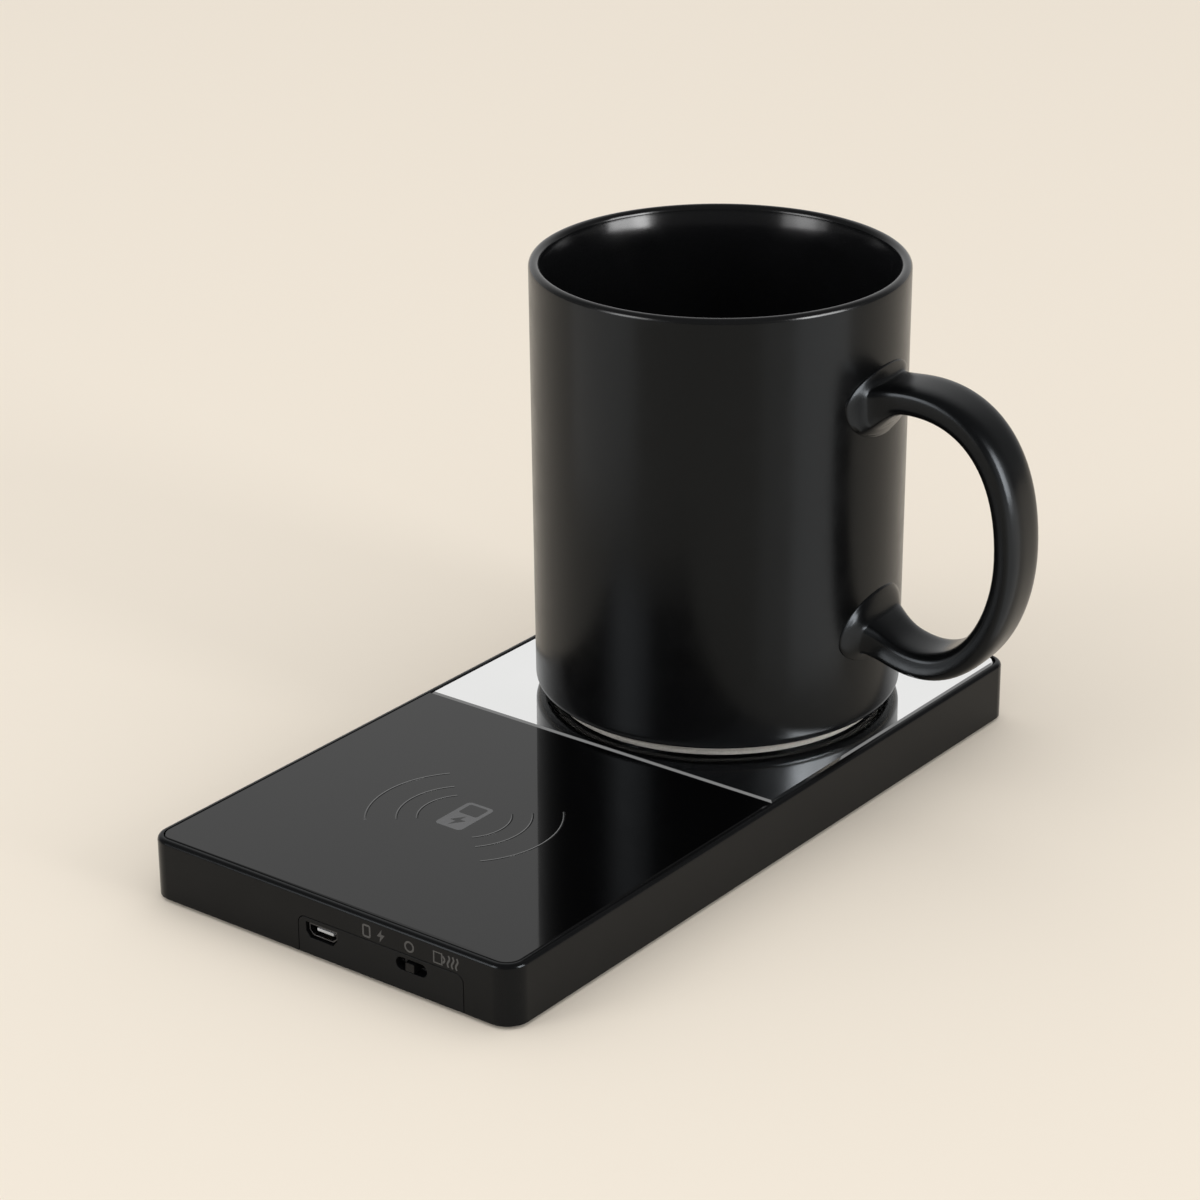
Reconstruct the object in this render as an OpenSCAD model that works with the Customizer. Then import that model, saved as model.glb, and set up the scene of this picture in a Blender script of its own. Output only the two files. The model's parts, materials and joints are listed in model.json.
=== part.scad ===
// A ceramic mug on a flat base that keeps it warm and charges a telephone.
// X runs across the base, Y towards the mug, Z up from the table. Sizes in millimetres.

/* [Base] */
// Length of the base
base_length = 182; // [170:1:230]
// Width of the base
base_width = 96; // [94:1:130]
// Height of the housing, from its bottom edge to the panel tops
base_height = 13.3; // [13:0.1:18]
// Radius of the upright corners
corner_radius = 5; // [4:0.5:10]
// Radius of the outer top edge
edge_radius = 1; // [0.3:0.1:1]
// Width of the rim that shows round the panels
rim_width = 1.3; // [1:0.1:1.8]
// Thickness of the housing walls
wall = 2; // [1.8:0.1:3]
// Thickness of the deck under the panels
deck_thickness = 1.2; // [1:0.1:2]
// Distance of the line between the panels behind the middle
divide_shift = -1.8; // [-8:0.1:4]

/* [Panels] */
// Thickness of the charging glass
glass_thickness = 1.5; // [1:0.1:2]
// Ground edge of the charging glass
glass_arris = 0.25; // [0.1:0.05:0.4]
// Thickness of the heating plate
plate_thickness = 1.5; // [1.2:0.1:2]
// Width of the heating plate's bevel
plate_bevel = 0.7; // [0.3:0.05:0.9]
// Thickness of the adhesive under the glass
tape_thickness = 0.2; // [0.1:0.05:0.3]
// Thickness of the seal under the heating plate
seal_thickness = 0.2; // [0.1:0.05:0.3]

/* [Mug] */
// Outer diameter at the rim
mug_diameter = 82.4; // [74:0.2:86]
// Outer diameter above the rounded lower edge
mug_lower_diameter = 81.4; // [73:0.2:86]
// Height of the mug
mug_height = 99.3; // [90:0.1:120]
// Thickness of the wall
mug_wall = 3.5; // [3:0.1:5]
// Thickness of the floor
mug_floor = 4.5; // [4:0.1:7]
// Thinning of the wall inside the lip
lip_taper = 1.1; // [0.6:0.1:1.6]
// Depth of the lip's thinning below the rim
lip_depth = 7; // [4:0.5:12]
// Radius of the lower outer edge
mug_edge_radius = 2.2; // [1.5:0.1:3.5]
// Radius of the corner between wall and floor inside
mug_inner_radius = 9; // [5:0.5:14]
// Distance of the foot ring's outer face in from the wall's
foot_ring_inset = 4; // [3.6:0.1:8]
// Width of the foot ring
foot_ring_width = 4; // [3:0.1:6]
// Height of the foot ring
foot_ring_height = 1.5; // [0.8:0.1:2.5]
// Place of the mug across the heating plate, from its middle
mug_shift_x = 1.4; // [-6:0.1:6]
// Place of the mug along the heating plate, from its middle
mug_shift_y = -3; // [-6:0.1:3]

/* [Handle] */
// Width of the handle's strap
handle_width = 13.5; // [10:0.5:17]
// Thickness of the handle's strap
handle_thickness = 6.4; // [5:0.1:9]
// Reach of the strap's middle from the mug's wall
handle_reach = 32.5; // [26:0.5:40]
// Height of the upper root
handle_upper = 75.8; // [70:0.2:82]
// Height of the lower root
handle_lower = 24.2; // [22:0.1:32]
// Height of the outermost point
handle_middle = 46.8; // [44:0.2:54]
// Slope of the strap at its upper root
handle_rise = 18; // [5:1:25]
// Slope of the strap at its lower root
handle_drop = 37; // [20:1:45]
// Length over which the roots flare out to the wall
root_flare = 7; // [4:0.5:9]
// Width of the strap where it meets its collars
root_width = 19.5; // [14:0.5:22]
// Width of the collars where the roots meet the wall
collar_width = 26.5; // [22:0.5:28]
// Height of the collars where the roots meet the wall
collar_height = 15.6; // [12:0.2:18]
// Direction of the handle, turned from across the base
handle_turn = 4; // [-10:0.5:10]

/* [Cover] */
// Thickness of the bottom cover
cover_thickness = 1.6; // [1.4:0.1:2]
// Left end of the front tab
tab_left = -6.7; // [-9:0.1:-6]
// Right end of the front tab
tab_right = 35.9; // [32:0.1:37]
// Height of the front tab
tab_height = 8.2; // [8:0.1:9]
// Thickness of the front tab
tab_thickness = 2.4; // [2:0.1:2.8]
// Radius of the tab's upper corners
tab_radius = 1.8; // [1:0.1:2.5]
// Diameter of the rubber feet
foot_diameter = 10; // [7:0.5:12]
// How far the feet stand proud of the cover
foot_proud = 0.8; // [0.5:0.1:1.2]
// Depth of the recesses that the feet sit in
foot_recess = 0.7; // [0.4:0.1:0.9]

/* [Ports] */
// Place of the power socket across the front
usb_x = -0.6; // [-1:0.1:3]
// Width of the power socket's shell
usb_width = 7.5; // [7:0.1:8]
// Height of the power socket's shell
usb_height = 2.7; // [2.5:0.1:3]
// Place of the slide switch across the front
switch_x = 22.8; // [20:0.1:25]
// Travel of the switch each way from the middle
switch_travel = 2; // [1.5:0.1:2.5]
// Width of the switch's nub
nub_width = 2.2; // [1.8:0.1:2.6]
// Height of the switch's nub
nub_height = 1.8; // [1.4:0.1:2]
// How far the nub stands out of the front face
nub_proud = 0.5; // [0.2:0.1:1]

/* [Electrics] */
// Diameter of the heater
heater_diameter = 72; // [60:1:74]
// Thickness of the heater film
film_thickness = 0.4; // [0.2:0.1:0.6]
// Thickness of the heating track
track_thickness = 0.1; // [0.1:0.05:0.2]
// Thickness of the insulation pad
pad_thickness = 2.4; // [1.5:0.1:2.8]
// Diameter of the coil's wire
wire_diameter = 1; // [0.8:0.05:1.1]
// Distance between the coil's turns
coil_pitch = 1.45; // [1.4:0.05:1.6]
// Number of turns
coil_turns = 10; // [6:1:11]
// Radius of the innermost turn
coil_inner_radius = 10.2; // [8:0.1:12]
// Thickness of the ferrite sheet
ferrite_thickness = 0.8; // [0.5:0.1:1]
// Thickness of the circuit board
board_thickness = 1.6; // [1:0.1:1.8]
// Length of the circuit board along the base
board_length = 37; // [34:1:42]
// Height of the board above the cover
standoff_height = 1; // [0.8:0.1:1.4]

/* [Hidden] */

$fn = 64;
// Facets of the small rounded forms
hull_fn = 32;
// Overlap that keeps cuts clear of the faces they open
cut = 1;
// Gap between fixed pieces that fit in each other
fit_gap = 0.15;
// Gap round a piece that moves
run_gap = 0.3;

// Levels, from the table up
bottom_z = foot_proud;
cover_top = bottom_z + cover_thickness;
board_bottom = cover_top + standoff_height;
board_top = board_bottom + board_thickness;
top_z = bottom_z + base_height;
glass_bottom = top_z - glass_thickness;
plate_bottom = top_z - plate_thickness;
glass_seat = glass_bottom - tape_thickness;
plate_seat = plate_bottom - seal_thickness;
deck_bottom = min(glass_seat, plate_seat) - deck_thickness;
film_bottom = plate_bottom - film_thickness;
track_bottom = film_bottom - track_thickness;
pad_bottom = track_bottom - pad_thickness;
coil_z = deck_bottom - wire_diameter / 2;
ferrite_top = deck_bottom - wire_diameter;
ferrite_bottom = ferrite_top - ferrite_thickness;

// Plan of the base
front_y = -base_length / 2;
back_y = base_length / 2;
side_x = base_width / 2;
glass_back = divide_shift - fit_gap / 2;
plate_front = divide_shift + fit_gap / 2;
glass_middle = (front_y + divide_shift) / 2;
plate_middle = (back_y + divide_shift) / 2;

// Screws, their bosses and the feet
screw_inset = 5.5;
screw_end_inset = 23;
screw_shank = 1.9;
screw_pilot = 2;
screw_head = 3.8;
screw_head_height = 1.2;
screw_slot = [2.5, 0.6];
screw_slot_depth = 0.6;
screw_bore = 4.2;
screw_bore_depth = 1.5;
screw_hole = 2.4;
screw_reach = 6.5;
screw_pad = 7;
screw_pad_height = 1.4;
boss_diameter = 5.5;
screw_places = [
    for (x = [-1, 1], y = [-1, 0, 1]) [x * (side_x - screw_inset), y * (back_y - screw_end_inset)]
];
foot_inset = 9;
foot_places = [
    for (x = [-1, 1], y = [-1, 1]) [x * (side_x - foot_inset), y * (back_y - foot_inset)]
];

// Circuit board
board_margin_left = 9.3;
board_side_gap = 0.5;
board_gap = 0.4;
board_left = tab_left - board_margin_left;
board_right = side_x - screw_inset - screw_pad / 2 - board_side_gap;
board_front = front_y + tab_thickness + board_gap;
board_back = board_front + board_length;
board_screw_inset = 3.5;
board_screw_places = [
    for (x = [board_left + board_screw_inset, board_right - board_screw_inset])
        [x, board_back - board_screw_inset]
];
board_screw_bite = 0.6;
board_screw_reach = standoff_height + board_thickness + board_screw_bite;
board_screw_tip_gap = 0.2;
standoff_diameter = 5;

// Parts on the board, in rows behind the socket and the switch
part_row_inset = 16.5;
part_row = board_front + part_row_inset;
capacitor_row_inset = 24;
capacitor_row = board_front + capacitor_row_inset;
controller_size = [5, 5, 0.9];
controller_shift = 2;
controller_x = usb_x + controller_shift;
driver_size = [5, 4, 1.6];
driver_pitch = 7;
driver_x = controller_x + driver_pitch;
capacitor_size = [3.2, 1.6, 1.6];
capacitor_shift = -9;
capacitor_x = usb_x + capacitor_shift;
capacitor_pitch = 4.6;
inductor_size = [7, 7, 3];
inductor_diameter = 8.75;
inductor_inset = 7;

// Power socket
usb_metal = 0.3;
usb_bevel = 1.1;
usb_depth = 5.4;
usb_recess = 0.6;
usb_front = front_y + usb_recess;
usb_z = board_top + usb_height / 2;
window_gap = 0.35;
tongue_height = 0.6;
tongue_gap = 0.6;
tongue_side_gap = 1.3;
tongue_half = usb_width / 2 - usb_metal - tongue_side_gap;
insert_depth = 1.6;
contact_count = 5;
contact_pitch = 0.65;
contact_width = 0.35;
contact_thickness = 0.12;
contact_end = 0.2;

// Slide switch
switch_wall = 0.4;
slider_base_width = 4.2;
slider_base_depth = 1.8;
slider_base_height = 2;
switch_gap = 0.2;
switch_front = front_y + tab_thickness + switch_gap;
switch_depth = slider_base_depth + 2 * run_gap + 2 * switch_wall;
switch_length = slider_base_width + 2 * (switch_travel + run_gap + switch_wall);
switch_height = slider_base_height + 2 * (run_gap + switch_wall);
switch_z = board_top + switch_height / 2;
slot_margin = 0.85;
slot_clearance = 0.5;
slot_height = nub_height + 2 * slot_clearance;
terminal_count = 4;
terminal_size = [0.7, 1.6, 0.25];
terminal_pitch = 2;

// The front tab always reaches past both openings in it
tab_margin = 0.5;
tab_top = max(
    tab_height,
    usb_z + usb_height / 2 + window_gap + tab_margin - bottom_z,
    switch_z + slot_height / 2 + tab_margin - bottom_z
);

// Heater
heater_hole_gap = 3;
heater_hole = heater_diameter + 2 * heater_hole_gap;
tape_frame = 8;
film_tab = [12, 2.4];
track_width = 1.5;
track_pitch = 5;
track_inner = 9;
track_edge = 2;
track_count = floor((heater_diameter / 2 - track_edge - track_inner) / track_pitch) + 1;
track_gap = 6;
track_end_gap = 1;
pad_margin = 2;
lead_notch = [14, 10];
thermistor_diameter = 2.2;
thermistor_length = 4.5;
thermistor_x = 3;
thermistor_pitch = 1.3;
fuse_size = [14, 6.4, 3];
fuse_edge = 18;
fuse_x = heater_diameter / 2 - fuse_edge;
fuse_stud = 2;
fuse_stud_height = 0.5;
pocket_gap = 0.4;
support_diameter = 62;
support_wall = 1.2;
support_notch = 14;

// Coil
coil_steps = 24;
coil_sides = 6;
coil_outer_radius = coil_inner_radius + coil_pitch * coil_turns;
coil_rim_wall = 1;
coil_rim_height = wire_diameter - fit_gap;
coil_rim_opening = 9;
ferrite_margin = 1;
ferrite_hole = 5;
ferrite_half = coil_outer_radius + wire_diameter / 2 + ferrite_margin;
coil_place = [0, glass_middle];

// Leads
lead_diameter = 1.2;
fine_lead_diameter = 0.8;
lead_sides = 8;
lead_bend = 2.5;
lead_turn = 2;
lead_height = 2.4;
lead_level = board_top + lead_height;
pad_run = 6;
pad_inset = 2;
pad_pitch = 5;
pad_first = 9;
pad_row = board_back - pad_inset;
pad_places = [for (k = [0:5]) board_left + pad_first + pad_pitch * k];
inner_drop = [0.8, 1.6];

// Mug
mug_x = mug_shift_x;
mug_y = plate_middle + mug_shift_y;
mug_z = top_z;
rim_fillet = (mug_wall - lip_taper) / 2;
lip_steps = 4;
foot_ring_fillet = 0.6;
arc_steps = 8;
mug_wall_radius = mug_lower_diameter / 2;
strap_sides = 20;
strap_steps = 20;
strap_squareness = 4.2;
strap_ease = 2;
root_depth = mug_wall / 2;
root_thicken = [4.5, 1.5];
collar_squareness = 2;
collar_reach = 1;
collar_shift = 1.2;
collar_proud = 0.4;
upper_pull = 21;
upper_tip_pull = 25;
lower_tip_pull = 19;
lower_pull = 26.5;

function unit(v) = v / norm(v);
function arc(centre, radius, from, to, steps = arc_steps) = [
    for (i = [0:steps])
        let (a = from + (to - from) * i / steps)
        centre + radius * [cos(a), sin(a)]
];
function bezier(p, t) =
    pow(1 - t, 3) * p[0] + 3 * pow(1 - t, 2) * t * p[1] + 3 * (1 - t) * t * t * p[2] + pow(t, 3) * p[3];

// Triangles that skin a row of rings and close both ends
function skin_faces(rings, sides) = concat(
    [
        for (i = [0:rings - 2], j = [0:sides - 1], half = [0, 1])
            let (a = i * sides + j, b = i * sides + (j + 1) % sides)
            half == 0 ? [a, b, b + sides] : [a, b + sides, a + sides]
    ],
    [for (j = [1:sides - 2]) [0, j + 1, j]],
    [for (j = [1:sides - 2]) let (k = (rings - 1) * sides) [k, k + j, k + j + 1]]
);

// Directions along a path, and one sideways direction carried along it without twisting
function path_direction(path, i) =
    unit(path[min(i + 1, len(path) - 1)] - path[max(i - 1, 0)]);
function square_to(v, d) = unit(v - (v * d) * d);
function path_sides(path, first) = [
    for (i = 0, v = square_to(first, path_direction(path, 0)); i < len(path);
         i = i + 1, v = i < len(path) ? square_to(v, path_direction(path, i)) : v) v
];

// A round tube along a path
module tube(path, diameter, sides, first) {
    across = path_sides(path, first);
    points = [
        for (i = [0:len(path) - 1], j = [0:sides - 1])
            let (d = path_direction(path, i), a = 360 * (j + 0.5) / sides)
            path[i] + diameter / 2 / cos(180 / sides) * (cos(a) * across[i] + sin(a) * cross(d, across[i]))
    ];
    polyhedron(points, skin_faces(len(path), sides));
}

// A route with its corners rounded
function rounded_route(p, bend, steps = 4) = concat(
    [p[0]],
    [
        for (i = [1:len(p) - 2])
            let (
                back = unit(p[i - 1] - p[i]) * min(bend, norm(p[i - 1] - p[i]) / 2.1),
                on = unit(p[i + 1] - p[i]) * min(bend, norm(p[i + 1] - p[i]) / 2.1)
            )
            for (s = [0:steps])
                let (t = s / steps)
                p[i] + pow(1 - t, 2) * back + pow(t, 2) * on
    ],
    [p[len(p) - 1]]
);

// The base's outline, drawn in by inset, as a straight-sided block
module outline_block(inset, from, to) {
    r = max(corner_radius - inset, 0.5);
    w = side_x - inset;
    l = back_y - inset;
    translate([0, 0, from]) linear_extrude(to - from) union() {
        square([2 * (w - r), 2 * l], center = true);
        square([2 * w, 2 * (l - r)], center = true);
        for (x = [-1, 1], y = [-1, 1]) translate([x * (w - r), y * (l - r)]) circle(r);
    }
}

// The part of an outline block between two lines across the base
module outline_part(inset, from, to, y0, y1) {
    intersection() {
        outline_block(inset, from, to);
        translate([-base_width, y0, from - cut]) cube([2 * base_width, y1 - y0, to - from + 2 * cut]);
    }
}

// A flat panel with a bevelled top edge
module bevelled_panel(from, thickness, bevel, y0, y1) {
    inset = rim_width + fit_gap;
    hull() {
        outline_part(inset, from, from + thickness - bevel, y0, y1);
        outline_part(inset + bevel, from, from + thickness, y0 + bevel, y1 - bevel);
    }
}

// The housing's outer form: a block with upright round corners and a rounded top edge
module housing_body() {
    profile = concat(
        [[0, bottom_z], [corner_radius, bottom_z]],
        arc([corner_radius - edge_radius, top_z - edge_radius], edge_radius, 0, 90, 4),
        [[0, top_z]]
    );
    hull()
        for (x = [-1, 1], y = [-1, 1])
            translate([x * (side_x - corner_radius), y * (back_y - corner_radius), 0])
                rotate_extrude($fn = hull_fn) polygon(profile);
}

// Outline of the front tab, seen from the front
module tab_outline(gap) {
    left = tab_left - gap;
    right = tab_right + gap;
    top = tab_top + gap;
    r = tab_radius + gap;
    union() {
        translate([left, -cut]) square([right - left, top - r + cut]);
        translate([left + r, 0]) square([right - left - 2 * r, top]);
        for (x = [left + r, right - r]) translate([x, top - r]) circle(r);
    }
}

// Extrudes a drawing of the front face inwards from the front, by depth
module into_front(depth, start = 0) {
    translate([0, front_y + start + depth, bottom_z]) rotate([90, 0, 0]) linear_extrude(depth) children();
}

// Outline of the power socket about its middle, with its lower corners cut away
module socket_outline(grow) {
    w = usb_width / 2 + grow;
    h = usb_height / 2 + grow;
    polygon([[-w, h], [-w, usb_bevel - h + grow], [usb_bevel - w, -h], [w - usb_bevel, -h],
             [w, usb_bevel - h + grow], [w, h]]);
}

module round_slot(length, height) {
    square([length - height, height], center = true);
    for (x = [-1, 1]) translate([x * (length - height) / 2, 0]) circle(height / 2);
}

module top_housing() {
    color("#1c1c1e") difference() {
        union() {
            difference() {
                housing_body();
                outline_block(wall, bottom_z - cut, deck_bottom);
                outline_part(rim_width, glass_seat, top_z + cut, front_y, divide_shift);
                outline_part(rim_width, plate_seat, top_z + cut, divide_shift, back_y);
            }
            for (p = screw_places)
                translate([p[0], p[1], cover_top + screw_pad_height])
                    cylinder(d = boss_diameter, h = deck_bottom - cover_top - screw_pad_height + cut / 2);
            translate([coil_place[0], coil_place[1], deck_bottom - coil_rim_height]) coil_rim();
        }
        for (p = screw_places)
            translate([p[0], p[1], cover_top]) cylinder(d = screw_pilot, h = screw_reach);
        translate([0, plate_middle, deck_bottom - cut])
            cylinder(d = heater_hole, h = deck_thickness + seal_thickness + 3 * cut);
        into_front(wall + cut, -cut / 2) tab_outline(fit_gap);
    }
}

// Rib under the deck that centres the coil
module coil_rim() {
    r = coil_outer_radius + wire_diameter / 2 + fit_gap;
    difference() {
        cylinder(r = r + coil_rim_wall, h = coil_rim_height + cut / 2);
        translate([0, 0, -cut]) cylinder(r = r, h = coil_rim_height + 3 * cut);
        translate([-r - 2 * coil_rim_wall, -coil_rim_opening, -cut])
            cube([r, coil_rim_opening + wire_diameter, coil_rim_height + cut]);
    }
}

module bottom_cover() {
    inset = wall + fit_gap;
    color("#202022") difference() {
        union() {
            outline_block(inset, bottom_z, cover_top);
            into_front(tab_thickness) intersection() {
                tab_outline(0);
                translate([tab_left, 0]) square([tab_right - tab_left, tab_top]);
            }
            translate([tab_left, front_y, bottom_z])
                cube([tab_right - tab_left, inset + corner_radius, cover_thickness]);
            for (p = screw_places)
                translate([p[0], p[1], bottom_z])
                    cylinder(d = screw_pad, h = cover_thickness + screw_pad_height);
            for (p = board_screw_places)
                translate([p[0], p[1], bottom_z])
                    cylinder(d = standoff_diameter, h = cover_thickness + standoff_height);
            translate([0, plate_middle, bottom_z]) pad_support();
        }
        for (p = screw_places) {
            translate([p[0], p[1], bottom_z - cut]) cylinder(d = screw_bore, h = screw_bore_depth + cut);
            translate([p[0], p[1], bottom_z]) cylinder(d = screw_hole, h = cover_thickness + 3 * cut);
        }
        for (p = foot_places)
            translate([p[0], p[1], bottom_z - cut])
                cylinder(d = foot_diameter + 2 * fit_gap, h = foot_recess + cut);
        for (p = board_screw_places)
            translate([p[0], p[1], board_top - board_screw_reach])
                cylinder(d = screw_pilot, h = board_screw_reach);
        into_front(tab_thickness + 2 * cut, -cut)
            translate([usb_x, usb_z - bottom_z]) socket_outline(window_gap);
        into_front(tab_thickness + 2 * cut, -cut)
            translate([switch_x, switch_z - bottom_z])
                round_slot(nub_width + 2 * (switch_travel + slot_margin), slot_height);
    }
}

// Ring on the cover that holds the insulation up, open to the front for the leads
module pad_support() {
    difference() {
        cylinder(d = support_diameter, h = pad_bottom - bottom_z);
        translate([0, 0, -cut]) cylinder(d = support_diameter - 2 * support_wall, h = base_height);
        translate([-support_notch / 2, -support_diameter, cover_thickness])
            cube([support_notch, support_diameter, base_height]);
    }
}

module charging_glass() {
    color("#0a0a0b")
        bevelled_panel(glass_bottom, glass_thickness, glass_arris,
                       front_y + rim_width + fit_gap, glass_back);
}

module heating_plate() {
    color("#d8dadb")
        bevelled_panel(plate_bottom, plate_thickness, plate_bevel,
                       plate_front, back_y - rim_width - fit_gap);
}

module glass_tape() {
    inset = rim_width + 2 * fit_gap + glass_arris;
    color("#3c3c40") difference() {
        outline_part(inset, glass_seat, glass_bottom, front_y, glass_back - fit_gap);
        translate([tape_frame - side_x, front_y + tape_frame, glass_seat - cut])
            cube([
                base_width - 2 * tape_frame,
                glass_back - front_y - 2 * tape_frame,
                tape_thickness + 2 * cut
            ]);
    }
}

module plate_seal() {
    inset = rim_width + 2 * fit_gap + glass_arris;
    color("#5a5a5c") difference() {
        outline_part(inset, plate_seat, plate_bottom, plate_front + fit_gap, back_y);
        translate([0, plate_middle, plate_seat - cut])
            cylinder(d = heater_hole + cut, h = seal_thickness + 2 * cut);
    }
}

module heater_film() {
    r = heater_diameter / 2;
    color("#b5651d") translate([0, plate_middle, film_bottom]) linear_extrude(film_thickness) union() {
        circle(r);
        translate([-film_tab[0] / 2, -r - film_tab[1]]) square([film_tab[0], r]);
    }
}

// Concentric tracks joined end to end, with both ends led out through the gap to the tab
module heater_trace() {
    half = track_gap / 2;
    last = track_inner + track_pitch * (track_count - 1);
    end = heater_diameter / 2 + film_tab[1] - track_end_gap;
    color("#8a8d91") translate([0, plate_middle, track_bottom]) linear_extrude(track_thickness) union() {
        difference() {
            for (k = [0:track_count - 1]) track_ring(track_inner + track_pitch * k);
            translate([-half, -2 * last]) square([track_gap, 2 * last]);
        }
        for (k = [0:track_count - 2]) {
            x = k % 2 == 0 ? half : -half - track_width;
            r = track_inner + track_pitch * k;
            translate([x, -r - track_pitch]) square([track_width, track_pitch]);
        }
        translate([-half - track_width / 2, -track_inner]) square([half + track_width, track_width]);
        translate([-track_width / 2, -end]) square([track_width, end - track_inner + track_width / 2]);
        translate([track_count % 2 == 0 ? -half - track_width : half, -end])
            square([track_width, end - last + track_width]);
    }
}

module track_ring(r) {
    difference() {
        circle(r + track_width / 2);
        circle(r - track_width / 2);
    }
}

module insulation_pad() {
    d = heater_diameter + 2 * pad_margin;
    color("#c9c4b8") translate([0, plate_middle, pad_bottom]) difference() {
        cylinder(d = d, h = pad_thickness);
        translate([-lead_notch[0] / 2, -d / 2 - cut, -cut])
            cube([lead_notch[0], lead_notch[1], pad_thickness + 2 * cut]);
        pocket([thermistor_x, -lead_turn], [thermistor_diameter, thermistor_length + 3 * lead_turn]);
        pocket([fuse_x, 0], fuse_size);
    }
}

// Upright opening in the pad round a sensor of the given size, with its middle at p
module pocket(p, size) {
    translate([p[0] - size[0] / 2 - pocket_gap, p[1] - size[1] / 2 - pocket_gap, -cut])
        cube([size[0] + 2 * pocket_gap, size[1] + 2 * pocket_gap, pad_thickness + 2 * cut]);
}

module thermistor() {
    color("#2f6b3a")
        translate([thermistor_x, plate_middle, film_bottom - thermistor_diameter / 2])
            rotate([90, 0, 0]) cylinder(d = thermistor_diameter, h = thermistor_length, center = true);
}

module thermal_fuse() {
    color("#d9d4c4") translate([fuse_x, plate_middle, track_bottom - fuse_size[2]]) union() {
        translate([-fuse_size[0] / 2, -fuse_size[1] / 2, 0]) cube(fuse_size);
        for (x = [-1, 1])
            translate([x * fuse_size[0] / 4, 0, -fuse_stud_height])
                cylinder(d = fuse_stud, h = 2 * fuse_stud_height);
    }
}

// Flat spiral, with a straight end of one wire diameter, along the base, on each end
function coil_point(i) =
    let (a = 180 + 360 * i / coil_steps, r = coil_inner_radius + coil_pitch * i / coil_steps)
    [r * cos(a), r * sin(a), 0];
coil_spiral = [for (i = [0:coil_turns * coil_steps]) coil_point(i)];
coil_ends = [
    coil_spiral[0] + [0, wire_diameter, 0],
    coil_spiral[len(coil_spiral) - 1] - [0, wire_diameter, 0]
];
coil_path = concat([coil_ends[0]], coil_spiral, [coil_ends[1]]);
function least_gap(p) = min([
    for (i = [0:len(p) - 1 - coil_steps / 2], j = [i + coil_steps / 2:len(p) - 1]) norm(p[i] - p[j])
]) - wire_diameter;

module charging_coil() {
    echo(least_coil_gap = least_gap(coil_path));
    color("#b87333") translate([coil_place[0], coil_place[1], coil_z])
        tube(coil_path, wire_diameter, coil_sides, [0, 0, 1]);
}

module ferrite_sheet() {
    color("#4a4a4d") translate([coil_place[0], coil_place[1], ferrite_bottom]) difference() {
        translate([-ferrite_half, -ferrite_half, 0])
            cube([2 * ferrite_half, 2 * ferrite_half, ferrite_thickness]);
        translate([coil_ends[0][0] + inner_drop[0], coil_ends[0][1] + inner_drop[1], -cut])
            cylinder(d = ferrite_hole, h = ferrite_thickness + 2 * cut);
    }
}

module circuit_board() {
    color("#1f5f3a") difference() {
        translate([board_left, board_front, board_bottom])
            cube([board_right - board_left, board_length, board_thickness]);
        for (p = board_screw_places)
            translate([p[0], p[1], board_bottom - cut])
                cylinder(d = screw_hole, h = board_thickness + 2 * cut);
    }
}

// A chip package on the board, with its middle at p
module chip(p, size) {
    translate([p[0] - size[0] / 2, p[1] - size[1] / 2, board_top]) cube(size);
}

module controller_chip() {
    color("#2a2a2c") chip([controller_x, part_row], controller_size);
}

module driver_chips() {
    color("#2a2a2c")
        for (k = [0, 1]) chip([driver_x + driver_pitch * k, part_row], driver_size);
}

module resonant_capacitors() {
    color("#9a8061")
        for (k = [0:3]) chip([capacitor_x + capacitor_pitch * k, capacitor_row], capacitor_size);
}

module power_inductor() {
    color("#38383b") translate([board_right - inductor_inset, part_row, board_top])
        linear_extrude(inductor_size[2]) intersection() {
            square([inductor_size[0], inductor_size[1]], center = true);
            circle(d = inductor_diameter);
        }
}

module usb_shell() {
    color("#c4c6c8") translate([usb_x, usb_front + usb_depth, usb_z]) rotate([90, 0, 0])
        linear_extrude(usb_depth) difference() {
            socket_outline(0);
            socket_outline(-usb_metal);
        }
}

// Plastic core of the socket: a back block with the tongue that the plug closes over
module usb_insert() {
    color("#b9bbbd") union() {
        translate([usb_x, usb_front + usb_depth, usb_z]) rotate([90, 0, 0])
            linear_extrude(insert_depth) socket_outline(-usb_metal);
        translate([usb_x - tongue_half, usb_front + tongue_gap, usb_z - tongue_height / 2])
            cube([2 * tongue_half, usb_depth - tongue_gap - insert_depth / 2, tongue_height]);
    }
}

module usb_contacts() {
    size = [contact_width, usb_depth - tongue_gap - insert_depth - 2 * contact_end, contact_thickness];
    color("#c9a24a")
        for (k = [0:contact_count - 1])
            translate([usb_x + contact_pitch * (k - (contact_count - 1) / 2) - size[0] / 2,
                       usb_front + tongue_gap + contact_end, usb_z - tongue_height / 2 - size[2]])
                cube(size);
}

module switch_frame() {
    box = [switch_length, switch_depth, switch_height];
    inner = box - 2 * switch_wall * [1, 1, 1];
    slot = [nub_width + 2 * (switch_travel + run_gap), switch_wall + 2 * cut, nub_height + 2 * run_gap];
    color("#b4b6b8") translate([switch_x, switch_front, switch_z]) difference() {
        translate([-switch_length / 2, 0, -switch_height / 2]) cube(box);
        translate([-inner[0] / 2, switch_wall, -inner[2] / 2]) cube(inner);
        translate([-slot[0] / 2, -cut, -slot[2] / 2]) cube(slot);
    }
}

module switch_slider() {
    back = switch_front + switch_wall + run_gap;
    color("#2c2c2f") union() {
        translate([switch_x - slider_base_width / 2, back, switch_z - slider_base_height / 2])
            cube([slider_base_width, slider_base_depth, slider_base_height]);
        translate([switch_x - nub_width / 2, front_y - nub_proud, switch_z - nub_height / 2])
            cube([nub_width, back - front_y + nub_proud + slider_base_depth / 2, nub_height]);
    }
}

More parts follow.
